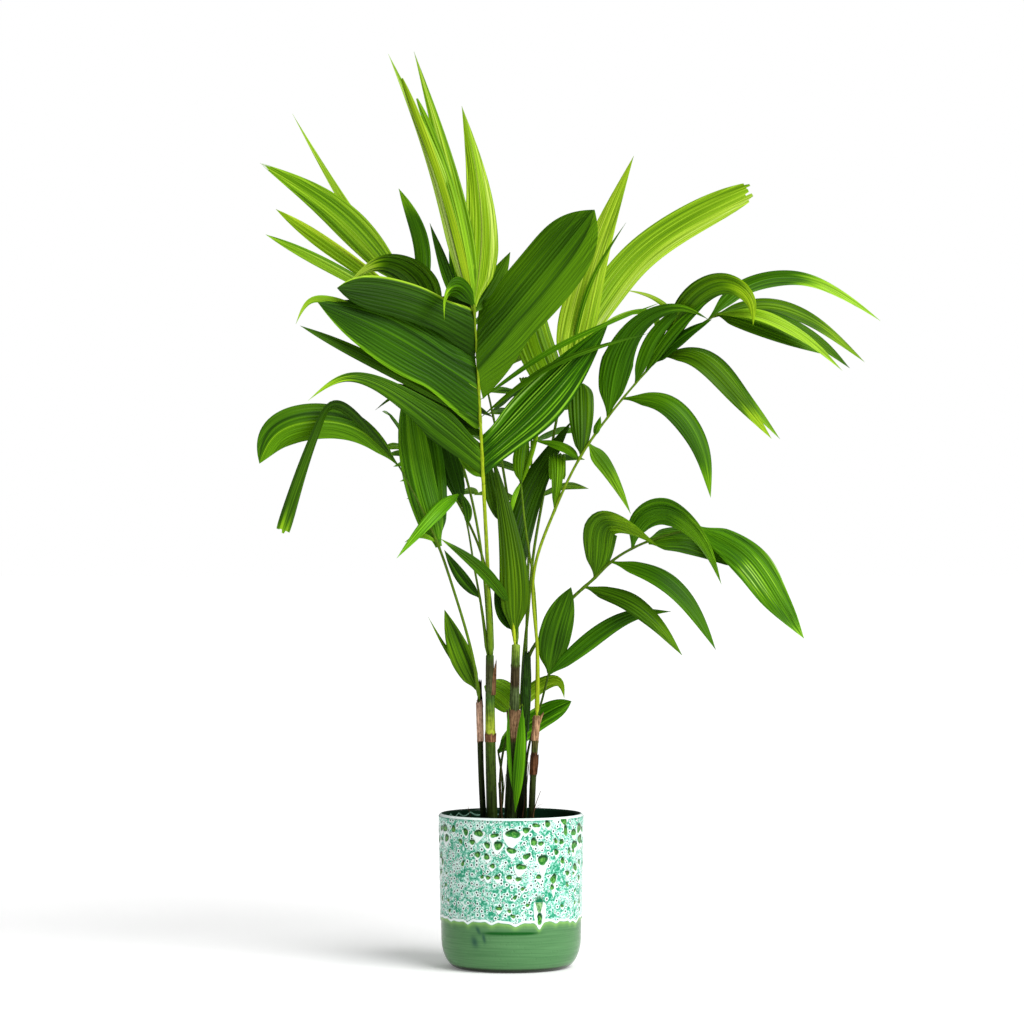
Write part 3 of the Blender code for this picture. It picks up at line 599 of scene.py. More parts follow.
# %% Fronds of the cane at the back, and the low young leaves
FRONDS += [
    Frond("back_right", [(16.2, 24.5, 393), (20, 32, 485), (27, 38, 555), (34, 45, 634), (50, 60, 731), (66, 80, 823),
                         (77, 95, 880), (102, 125, 975)], 0.80, 2.3, FRONT, (MID, MID), [
        # The tall and the wide blade get light tints: partly their own yellow-green, partly painted light shining
        # through them.
        Leaf(0.90, [(40, 40, 175), (110, 65, 360)], 62, 4.4, SPEAR),
        Leaf(0.84, [(-40, 25, 90), (-65, 45, 220)], 60, 2.7, BROAD),
        Leaf(0.98, [(105, 50, 155), (290, 80, 265)], 54, 3.9, SQUARE, edge=(1, 0.3, 5.0), ragged=0.04, streaky=2,
             painted_highlight=(0.03, 0.3), warmth=1.2),
        Leaf(0.97, [(25, 5, 105), (85, -5, 210)], 8, MID),
    ]),
    Frond("right_mid", [(22.6, 21, 393), (23, 15, 462), (31, 11, 491), (53, 2, 522), (96, -8, 576), (131, -18, 608),
                        (152, -22, 629), (186, -30, 652), (223, -38, 668), (292, -50, 686)], 0.50, 2.8, UPWARD,
          (DARK, MID), [
        Leaf(0.53, [(75, -30, -25), (150, -45, -105)], 36, DARK, tip=(0.7, MID)),
        Leaf(0.66, [(70, -30, -20), (120, -40, -65), (160, -50, -135)], 36, 1.3),
        Leaf(0.58, [(5, -10, 46), (12, -20, 80), (42, -42, 80), (95, -55, 50)], 54, 1.4, CREASED,
             tip=(0.55, FRESH), warmth=0.9),
        Leaf(0.75, [(10, -10, 38), (40, -25, 56), (88, -45, 32), (135, -60, -55)], 46, 1.5, CREASED,
             tip=(0.5, FRESH), warmth=0.86),
        Leaf(0.81, [(65, 5, 5), (140, 10, -40)], 54, 1.1, BROAD),
        Leaf(1.00, [(65, -20, -35), (115, -35, -100), (160, -45, -170)], 68, 2.0, tip=(0.95, LIME),
             painted_highlight=(0.35, 0.75), warmth=0.9),
    ], split=True),
    Frond("right_low", [(22, 14, 212), (23, 16, 275), (25, 16, 326), (47, 10, 411), (59, 4, 460)],
          0.94, 1.8, FRONT, (DEEP, DARK), [
        Leaf(0.99, [(10, -10, 60), (35, -20, 135)], 50, 0.7, PADDLE, midrib=MID),
        Leaf(0.98, [(65, -20, 55), (135, -30, 95), (190, -40, 100)], 28, DARK, tip=(0.8, MID), warmth=0.9),
    ]),
    Frond("low_back", [(-13, 30, 212), (-17, 30, 297), (-8, 36, 352), (9, 44, 400)], 0.92, 1.8, FRONT, (DEEP, DARK), [
        Leaf(0.98, [(-20, -5, 25), (-50, -15, 40)], 46, FRESH, BROAD, streaky=2, warmth=0.85),
        Leaf(0.99, [(40, 0, 40), (65, -10, 45), (75, -20, 20)], 24, BRIGHT),
    ]),
    Frond("low_glossy", [(-21, 40, 212), (-13, 42, 273), (-21, 42, 336)], 0.9, 1.8, FRONT, (DEEP, DARK), [
        Leaf(0.97, [(60, 10, 50), (115, -5, 80)], 36, 1.6, BLUNT, streaky=3, painted_highlight=(0.1, 0.8), warmth=0.75),
    ]),
]

# %% Fronds that lean away behind the clump
FRONDS += [
    Frond("back_left", [(-29.4, -14.4, 486), (-40, 35, 620), (-85, 110, 725), (-130, 190, 790), (-165, 270, 815)],
          0.54, 2.1, BEHIND, (MID, MID), leaf_pairs(0.60, 5, 100, 26, (-0.35, 0.75, 0.40)) + [
        Leaf(0.99, [(-30, 55, 50), (-50, 110, 60)], 26, MID),
    ]),
    Frond("back_centre", [(9, -6.5, 502), (5, 45, 640), (-15, 120, 790), (-45, 190, 930), (-75, 260, 1020)],
          0.54, 2.2, BEHIND, (MID, MID), leaf_pairs(0.58, 5, 190, 32, (-0.22, 0.55, 0.80)) + [
        Leaf(0.99, [(-35, -15, 95), (-58, -30, 160)], 22, DARK),
        Leaf(0.99, [(-20, -10, 80), (-27, -20, 130)], 14, MID),
    ]),
    Frond("back_far", [(21.5, 28.2, 393), (25, 65, 550), (30, 150, 700), (33, 245, 830), (30, 340, 910)],
          0.54, 2.2, BEHIND, (MID, MID), leaf_pairs(0.58, 5, 155, 30, (0.02, 0.78, 0.60)) + [
        Leaf(0.99, [(-5, 60, 25), (-10, 120, 15)], 26, MID),
    ]),
]
print(len(FRONDS), "fronds with", sum(len(f.leaves) for f in FRONDS), "leaflets")

# %% [markdown]
# ## Growing a leaflet
#
# A leaflet could be a flat card with a bump map, but its pleats are its character: they catch the light and notch
# its end. So it is a grid that follows the path, with a few columns to each pleat. The pleats get narrower with
# the blade and so lower too. A broad leaflet starts along a length of rib and fans out from there.

# %% Leaflet meshes
PLEAT = 5.6  # mm across one pleat where the leaflet is widest
PLEAT_RISE = 0.13  # mean height of a pleat as a share of its width
CAMBER = 0.18  # how far the edges fall behind the midline, as a share of half the width
RIPPLE = 0.05  # height of the slow waves along and across a blade, as a share of half the width
FAN = 0.3  # share of a broad leaflet along which it turns from the rib's direction to its own
PLEAT_COLUMNS = 4  # columns of faces across one pleat
ROW = 5.0  # mm between rows
THINNEST = 0.2  # mm, half the width at the very tip
WAIST = 0.35  # how much of its width a leaflet has where it joins the rib
WAIST_END = 0.16  # share of its length where it has all of it
draw = np.random.default_rng(41)


def leaf_width(leaf, share):
    foot, widest, fullness, end = leaf.shape
    rising = foot + (1 - foot) * np.sin(np.clip(share / widest, 0, 1) * math.pi / 2)
    falling = 1 - (1 - end) * np.clip((share - widest) / (1 - widest), 0, 1) ** fullness
    width = leaf.width * np.where(share < widest, rising, falling)
    if not leaf.attached:
        width = width * (WAIST + (1 - WAIST) * smooth(share / WAIST_END))
    return width


def leaf_frames(leaf, base, rib_heading, face):
    """Centre, sideways direction, broad side and half width of a leaflet, for each row from its base to its tip."""
    places = [base] + [base + np.array(place, float) for place in leaf.path]
    length = path_length(np.array(places))
    rows = int(np.clip(length / ROW, 16, 72))
    centres = spline(places, rows)
    forward = directions(centres)
    shares = np.linspace(0, 1, rows)
    halves = np.maximum(leaf_width(leaf, shares) / 2, THINNEST)
    broad = np.array(face, float)
    sides = []
    faces = []
    for i, share in enumerate(shares):
        broad = unit(broad - np.dot(broad, forward[i]) * forward[i])
        turn = math.radians(leaf.roll[0] + (leaf.roll[1] - leaf.roll[0]) * share)
        across = math.cos(turn) * np.cross(forward[i], broad) + math.sin(turn) * broad
        if leaf.attached and share < FAN:
            own = smooth(share / FAN)
            along_rib = rib_heading * (1 if np.dot(rib_heading, across) > 0 else -1)
            across = unit(along_rib * (1 - own) + across * own)
            halves[i] = leaf.attached / 2 * (1 - own) + halves[i] * own
        sides.append(across)
        faces.append(unit(np.cross(across, forward[i])))
    return shares, centres, np.array(sides), np.array(faces), halves, length


def leaf_tones(leaf, across, reach, number, pleats):
    """Each point's place in the row of tints."""
    wander = draw.integers(-leaf.streaky, leaf.streaky + 1, pleats) * draw.choice([0, 0.25, 0.5], pleats)
    lines = wander[number] + draw.normal(0, 0.14 + 0.15 * leaf.streaky, len(across))
    tones = leaf.tint + lines + 0.25 * np.sin(reach * draw.uniform(5, 12) + draw.uniform(0, 6))
    # Painted shade: the column in each pleat's valley is painted darker, the more so the streakier the blade.
    valley_shade = (np.arange(len(across)) % PLEAT_COLUMNS == 0) * draw.uniform(0.2, 1, len(across))
    tones = tones - 0.12 * leaf.streaky**2 * valley_shade
    start, tip = leaf.tip
    late = draw.uniform(-0.06, 0.06, pleats)[number]
    tones = tones + (tip + 0.7 * lines - tones) * fade(reach - start - late, 0.16)
    # Painted highlight: between these shares of the length, about a fifth of the columns are painted towards the palest
    # tint.
    begins, ends = leaf.painted_highlight
    if ends:
        highlight_streak = (draw.random(len(across)) < 0.22) * draw.uniform(0.5, 1, len(across))
        there = smooth((reach - begins) / 0.08) * smooth((ends - late - reach) / 0.2)
        tones = tones + (PALE - tones) * highlight_streak * there
    side, share, tint = leaf.edge
    if side:
        tones = tones + (np.maximum(tones, tint) - tones) * fade(across * side - 1 + 2 * share, 0.12)
    if leaf.midrib >= 0:
        tones = tones + (leaf.midrib - tones) * np.exp(-((across * 2.2 * pleats) ** 2))
    return tones


def leaf_grid(leaf, base, rib_heading, face):
    """Points, colours and surface places (millimetres across and along) of one leaflet."""
    shares, centres, sides, faces, halves, length = leaf_frames(leaf, base, rib_heading, face)
    pleats = max(3, round(leaf.width / PLEAT))
    across = np.linspace(-1, 1, PLEAT_COLUMNS * pleats + 1)
    count = (across + 1) / 2 * pleats
    fold = 1 - 2 * np.abs(2 * (count % 1) - 1)
    number = np.minimum(count.astype(int), pleats - 1)
    ends = 1 - leaf.ragged * draw.random(pleats)[number]
    reach = shares[:, None] * ends[None, :]
    values = np.concatenate([centres, sides, faces, halves[:, None]], axis=1)
    grid = np.stack([np.interp(reach, shares, column) for column in values.T], axis=-1)
    half = grid[..., 9]
    rise = PLEAT_RISE * 2 * half / pleats * fold * draw.choice([0.3, 0.7, 1.1, 2.2], pleats)[number]
    rise = rise * smooth(reach / 0.06) * (1 - 0.85 * smooth((np.abs(across) - 0.7) / 0.3))
    a, b, c, d = draw.uniform((9, 0, 2, 0), (15, 6, 4, 6))
    ripple = np.abs(across) ** 3 * np.sin(reach * a + b) + np.sin(across * c + reach * 5 + d)
    lift = rise - CAMBER * half * across**2 + RIPPLE * half * ripple
    points = grid[..., :3] + grid[..., 3:6] * (across * half)[..., None] + grid[..., 6:9] * lift[..., None]
    hue = np.array([leaf.warmth * draw.uniform(0.82, 1.12), 1, draw.uniform(0.6, 1.05)])
    paint = shade(TINTS, leaf_tones(leaf, across, reach, number, pleats)) * hue
    places = np.stack([across * half + draw.uniform(0, 900), reach * length], axis=-1)
    return points, paint, places


# %% [markdown]
# ## Growing a frond
#
# The rib is a tube that thins towards its end and swells a little where each leaflet joins it. The stalk below it
# is wider at its foot, where it clasps the cane, and has a shallow groove down its front. Rib and leaflets make
# one piece for each frond, and the stalk another.

# %% Ribs, stalks and whole fronds
RIB_SHARE = (0.95, 0.5)  # rib radius as a share of the stalk's, where the leaflets begin and at the frond's end
RIB_POINTS = 400  # places kept along a rib's curve
RIB_SIDES = 10
STALK_SIDES = 16
SWELLING = 0.175  # how much thicker the rib is where a leaflet joins it
SWELLING_LENGTH = 5.0  # mm over which that dies away
CLASP = 0.7  # how much wider the stalk's foot is
CLASP_LENGTH = 42.0  # mm over which that dies away
BURIED = 0.35  # how thick the stalk's very end is, inside the sheath
BURIED_LENGTH = 16.0  # mm over which it thickens


def grow_frond(frond):
    curve = spline(frond.rib, RIB_POINTS)
    length = path_length(curve)
    parts = Grids()
    shares = np.linspace(frond.neck, 1, max(8, int(length * (1 - frond.neck) / 5)))
    points, _ = stretch(curve, shares)
    radii = np.interp(shares, [frond.neck, 1], RIB_SHARE) * frond.foot_radius
    for leaf in frond.leaves:
        radii = radii * (1 + SWELLING * np.exp(-(((shares - leaf.at) * length / SWELLING_LENGTH) ** 2)))
    rings = capped(tube(points, radii, RIB_SIDES))
    tones = np.linspace(frond.stalk[1], max(frond.stalk[1] - 1.5, 1), len(rings))
    parts.add(rings, shade(STALK_TINTS, tones)[:, None], 1, closed=True)
    for leaf in frond.leaves:
        (base,), (heading,) = stretch(curve, [min(leaf.at, 1 - 2 / length)])
        points, paint, places = leaf_grid(leaf, base, heading, frond.face)
        parts.add(points, paint, places=places)
    nodes = [frond.name + "_frond"] + [frond.name + "_frond_end"] * frond.split
    parts.build(frond.name + "_leaflets", [blade_material, stalk_material], nodes)
    return sum(len(q) for q in parts.quads)


def stalk_section(share, angle):
    """A round stalk with a shallow groove down its front."""
    return 1 - 0.16 * np.exp(-(((angle - math.pi) / 0.6) ** 2))


def grow_stalk(frond):
    curve = spline(frond.rib, RIB_POINTS)
    length = path_length(curve)
    shares = np.linspace(0, frond.neck, max(6, int(length * frond.neck / 6)))
    points, _ = stretch(curve, shares)
    radii = np.interp(shares, [0, frond.neck], [1, RIB_SHARE[0]]) * frond.foot_radius
    from_foot = shares * length
    radii = radii * (1 + CLASP * np.exp(-from_foot / CLASP_LENGTH))
    radii = radii * (BURIED + (1 - BURIED) * smooth(from_foot / BURIED_LENGTH))
    rings = capped(tube(points, radii, STALK_SIDES, stalk_section))
    parts = Grids()
    parts.add(rings, shade(STALK_TINTS, np.linspace(*frond.stalk, len(rings)))[:, None], closed=True)
    parts.build(frond.name + "_petiole", [stalk_material], [frond.name + "_stalk"])


faces_made = sum(grow_frond(frond) for frond in FRONDS)
for frond in FRONDS:
    grow_stalk(frond)
print("leaflet faces", faces_made)

# %% [markdown]
# ## Canes and dry sheaths
#
# A cane is green, ringed where old leaves fell, and wrapped in places by what is left of their sheaths: papery,
# brown and torn at the edge. The cane is a tube with fine fibres standing out on it, painted by height: nearly
# black near the compost, yellow-green just above a ring. The sheaths are thin torn shells round it.

# %% Canes
CANE_SIDES = 32
CANE_STEP = 2.0  # mm between rings
COMPOST_TOP = 212.0


def cane(name, route, radii, colours, rings_at=()):
    """colours are (height, hex code), and fade from one to the next. rings_at are heights of raised leaf scars."""
    rows = int(path_length(spline(route, 50)) / CANE_STEP)
    points = spline(route, rows)
    radius = np.interp(np.linspace(0, 1, rows), [0, 0.5, 1], radii)
    for height in rings_at:
        radius = radius + 0.6 * np.exp(-(((points[:, 2] - height) / 2.2) ** 2))
    wave = draw.uniform(-1, 1, (3, CANE_SIDES))
    fibre = np.cumsum(draw.uniform(-1, 1, (rows, CANE_SIDES)), axis=0) * 0.004 + wave[0] * 0.022
    rings = capped(tube(points, radius, CANE_SIDES, lambda share, angle: 1 + fibre[int(share * (rows - 1))]))
    heights, codes = zip(*colours)
    paint = shade(palette(*codes), rings[..., 2] + 1.6 * wave[1], heights) * (1 + 0.12 * wave[2])[:, None]
    parts = Grids()
    parts.add(rings, paint, closed=True)
    parts.build(name + "_cane", [cane_material], [name])


cane("stem_left", [(-42, 6, 212), (-47, 4, 310), (-49, 0, 416)], (5.0, 4.6, 4.6),
     [(212, "#1c2a08"), (350, "#2c3a10"), (352, "#a07c62"), (405, "#b48c70"), (412, "#2e3e14")], (352,))
cane("stem_thick", [(-29, -16, 212), (-32, -17, 340), (-33, -15, 486)], (8.8, 7.9, 6.2),
     [(212, "#1e2c08"), (300, "#344812"), (352, "#3e5816"), (354, "#7a5a3c"), (363, "#8a6242"), (365, "#aaba3a"),
      (385, "#8ea62c"), (400, "#67882a"), (416, "#3f6422"), (440, "#4a5030"), (470, "#45482a"), (486, "#3f6018")],
     (354, 366))
cane("stem_middle", [(-2, -10, 212), (3, -10, 345), (7.6, -10, 502)], (9.8, 8.2, 6.4),
     [(212, "#1c280a"), (350, "#34461a"), (358, "#6a4a30"), (398, "#8a6a4a"), (402, "#4c5c34"), (434, "#4e5e34"),
      (440, "#433824"), (466, "#463e24"), (474, "#56722a"), (502, "#8aa83a")], (356, 400, 470))
cane("stem_right", [(31, 0, 212), (35, 0, 310), (40, 0, 391)], (5.2, 5.0, 5.4),
     [(212, "#22280e"), (298, "#38451a"), (302, "#4e3420"), (333, "#5c3d26"), (336, "#4c5a24"), (352, "#6a6236"),
      (358, "#93704f"), (391, "#a8845e")], (300, 352))
cane("stem_back", [(14, 25, 212), (17, 25, 300), (19.5, 24, 393)], (6.6, 6.4, 6.6),
     [(212, "#16180a"), (300, "#24300f"), (393, "#2f4a14")], (300,))
print("canes made")


# %% Torn sheaths
SHEATH_THICKNESS = 0.35


def sheath(name, path, radii, code, opening, turn, torn, material=dry_material, sides=40, rows=26):
    """A thin shell round a path. opening is the angle left open, turn where it is, torn how ragged its top is."""
    points = spline(path, rows)
    steps = np.linspace(0, 1, rows)
    radius = np.interp(steps, np.linspace(0, 1, len(radii)), radii)
    angles = np.linspace(opening / 2, math.tau - opening / 2, sides) + turn
    notch = 1 - torn * draw.random(sides // 2).repeat(2)
    shares = steps[:, None] * notch[None, :]
    walls = []
    for thickness in (0.0, SHEATH_THICKNESS):
        reach = (np.interp(shares, steps, radius) + thickness) * (1 + 0.05 * np.sin(5 * angles + turn))
        place = np.stack([np.interp(shares, steps, column) for column in points.T], axis=-1)
        out = np.stack([np.sin(angles), -np.cos(angles), 0 * angles], axis=-1)
        walls.append(place + reach[..., None] * out)
    paint = palette(code)[0] * draw.uniform(0.6, 1.25, sides)[:, None]
    fade = (1 - 0.45 * steps**4)[:, None, None]
    parts = Grids()
    parts.add(walls[1], paint * fade)
    # Painted shade: the inner wall, facing the cane, is painted at half the outer colour.
    parts.add(walls[0][:, ::-1], paint[::-1] * 0.5)
    parts.add(np.stack([walls[1][-1], walls[0][-1]]), paint * 0.6)
    parts.build(name, [material], [])


sheath("left_dry_sheath", [(-47.6, 2, 352), (-48.6, 1, 385), (-49.4, 0, 417)], (4.9, 5.1, 5.0), "#e6bca0",
       1.2, 2.4, 0.12)
sheath("left_dark_stub", [(-48.6, 1, 405), (-48.6, 1, 430), (-48.0, 1, 449)], (4.8, 2.8, 1.8), "#2e2218",
       0.6, 1.0, 0.2)
sheath("thick_papery_sheath", [(-30.5, -16.5, 425), (-27, -16.2, 455), (-23.5, -15.5, 482)], (6.2, 4.0, 0.8),
       "#7d5c3e", 3.1, 4.4, 0.2)
sheath("thick_ring", [(-32, -17, 352), (-32, -17, 360), (-32, -17, 367)], (8.3, 8.4, 8.9), "#94694a", 0.3, 2.0, 0.4)
sheath("middle_collar", [(3.5, -10, 357), (4, -10, 378), (4.6, -10, 402)], (8.4, 9.3, 11.2), "#9c7a58",
       0.3, 2.6, 0.08)
sheath("right_rough_sheath", [(34.6, 0, 300), (36, 0, 318), (37, 0, 335)], (5.7, 6.4, 6.0), "#70492e", 0.5, 2.0, 0.25)
sheath("right_upper_sheath", [(37, 0, 353), (38.8, 0, 372), (40, 0, 392)], (5.7, 5.7, 5.9), "#cfa37c", 0.5, 2.8, 0.25)
sheath("right_split_stub", [(42, 0, 378), (46, 0, 388), (51, 0, 398)], (3.0, 2.2, 1.0), "#a8845e", 1.4, 4.0, 0.3,
       sides=16, rows=10)
sheath("right_mid_clasp", [(20.5, 22, 366), (22.3, 19, 400), (24, 15, 450), (25.5, 13, 493)], (7.0, 7.5, 7.4, 4.6),
       "#2f5612", 0.9, 4.4, 0.05, cane_material)
print("sheaths made")

# %% [markdown]
# ## The pot
#
# The pot was turned in stoneware and dipped twice. The first glaze is a plain green. The second is a thick reactive
# mint glaze that boiled in the kiln: it left craters with green showing in them, ran down below each crater as a
# white drip, and stopped in a scalloped edge above the foot.
#
# Craters need real relief to catch the light, so the wall is a fine grid. Each point gets a few numbers between 0
# and 1: how far it is inside a crater, how far into the painted shade under a crater's upper lip, how white the glaze
# is, whether it has the mint glaze at all, and how much of a mark in the plain glaze lies on it. The relief and the
# colours both follow from those, so they always agree.

# %% Pot profile
POT_HEIGHT = 240.0
POT_RADIUS = 112.5
POT_FOOT_RADIUS = 82.0  # of the flat underside
POT_CORNER_HEIGHT = 48.0  # where the rounded corner ends and the wall begins
POT_WALL = 7.0
POT_FLOOR = 9.0
POT_TAPER = 3.5  # how much further out the rim is than the top of the corner
POT_COLUMNS = 600
CORNER_ROWS, STRAIGHT_ROWS, LIP_STEPS, INNER_ROWS = 36, 172, 12, 30
LIP = POT_HEIGHT - POT_WALL / 2


def pot_outside(height):
    """The pot's outer radius: a quarter ellipse at the bottom, then an almost straight wall."""
    body = POT_RADIUS - POT_TAPER
    rise = np.clip(1 - height / POT_CORNER_HEIGHT, 0, 1)
    corner = POT_FOOT_RADIUS + (body - POT_FOOT_RADIUS) * np.sqrt(1 - rise**2)
    return corner + POT_TAPER * np.clip((height - POT_CORNER_HEIGHT) / (POT_HEIGHT - POT_CORNER_HEIGHT), 0, 1)


wall = np.concatenate([POT_CORNER_HEIGHT * (1 - np.cos(np.linspace(0, math.pi / 2, CORNER_ROWS)))[:-1],
                       np.linspace(POT_CORNER_HEIGHT, LIP, STRAIGHT_ROWS)])
turn = np.linspace(0, math.pi, LIP_STEPS)[1:-1]
inner = np.concatenate([np.linspace(LIP, 205, INNER_ROWS), np.linspace(200, POT_CORNER_HEIGHT, 6),
                        [30, 18, POT_FLOOR]])
profile = np.concatenate([
    [[0.5, 0], [POT_FOOT_RADIUS * 0.5, 0], [POT_FOOT_RADIUS - 1, 0]],
    np.stack([pot_outside(wall), wall], axis=1),
    np.stack([POT_RADIUS - POT_WALL / 2 + POT_WALL / 2 * np.cos(turn), LIP + POT_WALL / 2 * np.sin(turn)], axis=1),
    np.stack([pot_outside(inner) - POT_WALL, inner], axis=1),
    [[POT_FOOT_RADIUS * 0.5, POT_FLOOR], [0.5, POT_FLOOR]],
])
wall_rows = slice(3, 3 + len(wall))
inner_rows = slice(3 + len(wall) + len(turn), len(profile) - 2)
print("pot profile", profile.shape[0], "rows")

# %% Craters
# Across and up in mm from the middle of the pot's front, then width and height.
FRONT_CRATERS = [
    (-89, 221, 8, 11), (-70, 218, 9, 9), (-50, 217, 14, 9), (-26, 214, 11, 6), (3, 217, 21, 11), (23, 222, 9, 9),
    (38, 229, 11, 6), (56, 231, 9, 9), (69, 240, 9, 6), (81, 236, 12, 14), (84, 219, 8, 14),
    (-78, 203, 6, 8), (-60, 203, 8, 8), (-37, 199, 9, 8), (-20, 199, 13, 11), (0, 191, 12, 9), (35, 204, 9, 12),
    (46, 201, 9, 6), (69, 204, 6, 8), (78, 202, 8, 8), (-52, 184, 8, 9), (-38, 181, 9, 8), (24, 182, 11, 8),
    (49, 176, 15, 14), (70, 187, 9, 8), (90, 187, 5, 8), (-75, 169, 6, 8), (-29, 167, 8, 6), (15, 166, 14, 8),
    (80, 173, 8, 9), (-45, 150, 6, 5), (-36, 149, 8, 5), (-22, 150, 9, 6), (-3, 150, 9, 6), (11, 147, 8, 6),
    (43, 150, 9, 6), (66, 146, 9, 16), (88, 153, 8, 8), (18, 132, 6, 5), (6, 119, 6, 6), (45, 86, 8, 15),
    (64, 133, 6, 9), (88, 135, 5, 8), (-19, 102, 8, 6), (-3, 98, 6, 5), (3, 90, 6, 6), (26, 107, 6, 5), (80, 103, 6, 5),
]
FRONT_ANGLE = 1.05  # radians to each side of the front that the list covers
BACK_ROWS = 8
KEPT = 0.86  # share of the craters in a row round the back that are there


def angle_at(x):
    """The angle round the pot of a place this far across its front."""
    return math.asin(x / POT_RADIUS)


craters = [(angle_at(x), *rest) for x, *rest in FRONT_CRATERS]
for row, height in enumerate(np.linspace(219, 92, BACK_ROWS)):
    size = 11.5 - 0.85 * row
    for angle in np.arange(FRONT_ANGLE, math.tau - FRONT_ANGLE, (17 + 1.5 * row) / POT_RADIUS):
        if draw.random() < KEPT:
            width = size * draw.uniform(0.65, 1.5)
            craters.append((angle + draw.uniform(-0.05, 0.05), height + draw.uniform(-6, 6), width,
                            width * draw.uniform(0.6, 0.95)))
print(len(craters), "craters")

# %% Craters and runs on the wall's grid
angles = (np.arange(POT_COLUMNS) / (POT_COLUMNS - 1) - 0.5) * math.tau  # from the back, round the front, to the back
height = profile[wall_rows, 1][:, None]
CRATER_GROWTH = 1.18  # how much wider the melted hole is than its listed size
CRATER_REACH = 40.0  # mm to each side of a crater that it can change
APRON = 1.15  # length of the white run below a crater, as a share of the crater's width
SOFT = 1.6  # mm over which one glaze gives way to the other
# The long white runs: across, top, length and width in mm, and how blunt the end is.
RUNS = [(45, 111, 42, 21, 4.0), (49, 178, 30, 16, 2.4), (66, 150, 34, 11, 2.4)]


def beside(angle):
    """How far each column is from an angle, in mm round the wall, and below 0 to its left."""
    return ((angles - angle + math.pi) % math.tau - math.pi) * POT_RADIUS


core, upper, white = np.zeros((3, len(wall), POT_COLUMNS))
for angle, middle, width, tall in craters:
    near = np.abs(beside(angle)) < CRATER_REACH
    above = height - middle
    bent = beside(angle)[near] + 0.2 * above * math.sin(middle + width)
    bearing = np.arctan2(above, bent)
    wobble = 1 + 0.12 * np.sin(2 * bearing + middle) + 0.09 * np.sin(3 * bearing + 3 * middle)
    reach = np.sqrt((2 * bent / width) ** 2 + (2 * above / tall) ** 2) / (CRATER_GROWTH * wobble)
    inside = 1 - smooth((reach - 0.85) / 0.25)
    fall = np.clip(-above / (APRON * width), 0, 1)
    half = 0.74 * width * (1 - fall**1.8) * (above < tall * 0.3)
    drip = fade(half - np.abs(bent), SOFT) * (half > 0) * (fall < 1)
    core[:, near] = np.maximum(core[:, near], inside)
    # The upper part of each crater is painted as the shade under its lip.
    upper[:, near] = np.maximum(upper[:, near], inside * smooth(0.35 + 1.6 * above / tall + 0.9 * (reach - 0.6)))
    white[:, near] = np.maximum(white[:, near], drip * (1 - inside))
for x, top, length, width, blunt in RUNS:
    fall = np.clip((top - height) / length, 0, 1)
    half = 0.5 * width * (1 - fall**blunt) * np.clip(0.65 + 3 * fall, 0, 1) * (height < top)
    white = np.maximum(white, fade(half - np.abs(beside(angle_at(x))), SOFT) * (half > 0) * (1 - core))

# %% The burst bubble over the longest run
# A dark teal tuft stands above it, and a pale green gutter narrows below it.
BURST_HEIGHT = 110.0
TUFT_HEIGHT = 15.0
GUTTER_LENGTH = 17.0
from_burst = beside(angle_at(44))
tuft_top = BURST_HEIGHT + TUFT_HEIGHT + 3 * np.sin(from_burst * 2.3) * np.cos(from_burst * 0.7) - 0.06 * from_burst**2
tuft = smooth((tuft_top - height) / 9) * fade(height - BURST_HEIGHT, 2) * smooth((8.5 - np.abs(from_burst)) / 3)
gutter_half = 6.2 - 3.6 * smooth((BURST_HEIGHT - height) / GUTTER_LENGTH)
gutter = fade(gutter_half - np.abs(from_burst), 1.2) * (height < BURST_HEIGHT) * (1 - core)
gutter = gutter * smooth((height - BURST_HEIGHT + GUTTER_LENGTH) / 3)
print("burst bubble", round(float(tuft.max()), 2), round(float(gutter.max()), 2))

# %% The edge of the mint glaze and the marks below it
EDGE = 80.0  # mm up the wall
# The drips of the edge: across, then depth and width in mm.
DRIPS = [(-68, 3.5, 5), (-31, 3.5, 7), (6, 4.5, 8), (44, 11, 5.5), (71, 3, 5), (93, 3, 4), (-95, 2, 6)]
drips = [(angle_at(x), depth, width) for x, depth, width in DRIPS]
back_angles = np.arange(1.2, 5.1, 0.33) + draw.uniform(-0.08, 0.08, 12)
drips += [(angle, draw.uniform(2, 7), draw.uniform(5, 8)) for angle in back_angles]
edge = EDGE - 1.1 * np.abs(np.sin(angles * 17)) - 0.8 * np.sin(angles * 7 + 1)
for angle, depth, width in drips:
    edge -= depth * np.exp(-((beside(angle) / width) ** 2))
above_edge = height - edge
glazed = fade(above_edge, SOFT)
roll = np.exp(-(((above_edge - 2.2) / 2.4) ** 2))
white = np.maximum(white, roll * 0.95)
white = np.maximum(white, 0.35 * smooth((height - LIP + 3.2) / 1.4))
core *= glazed * (1 - roll)
upper *= glazed * (1 - roll)
# Below the mint edge the plain green is painted lighter in a band, with a thin painted highlight just under the rolled
# edge.
band_and_highlight_below = (0.6 * smooth(1 + above_edge / 11) + 0.4 * np.exp(-((above_edge / 1.6 + 1) ** 2))) * (1 - glazed)
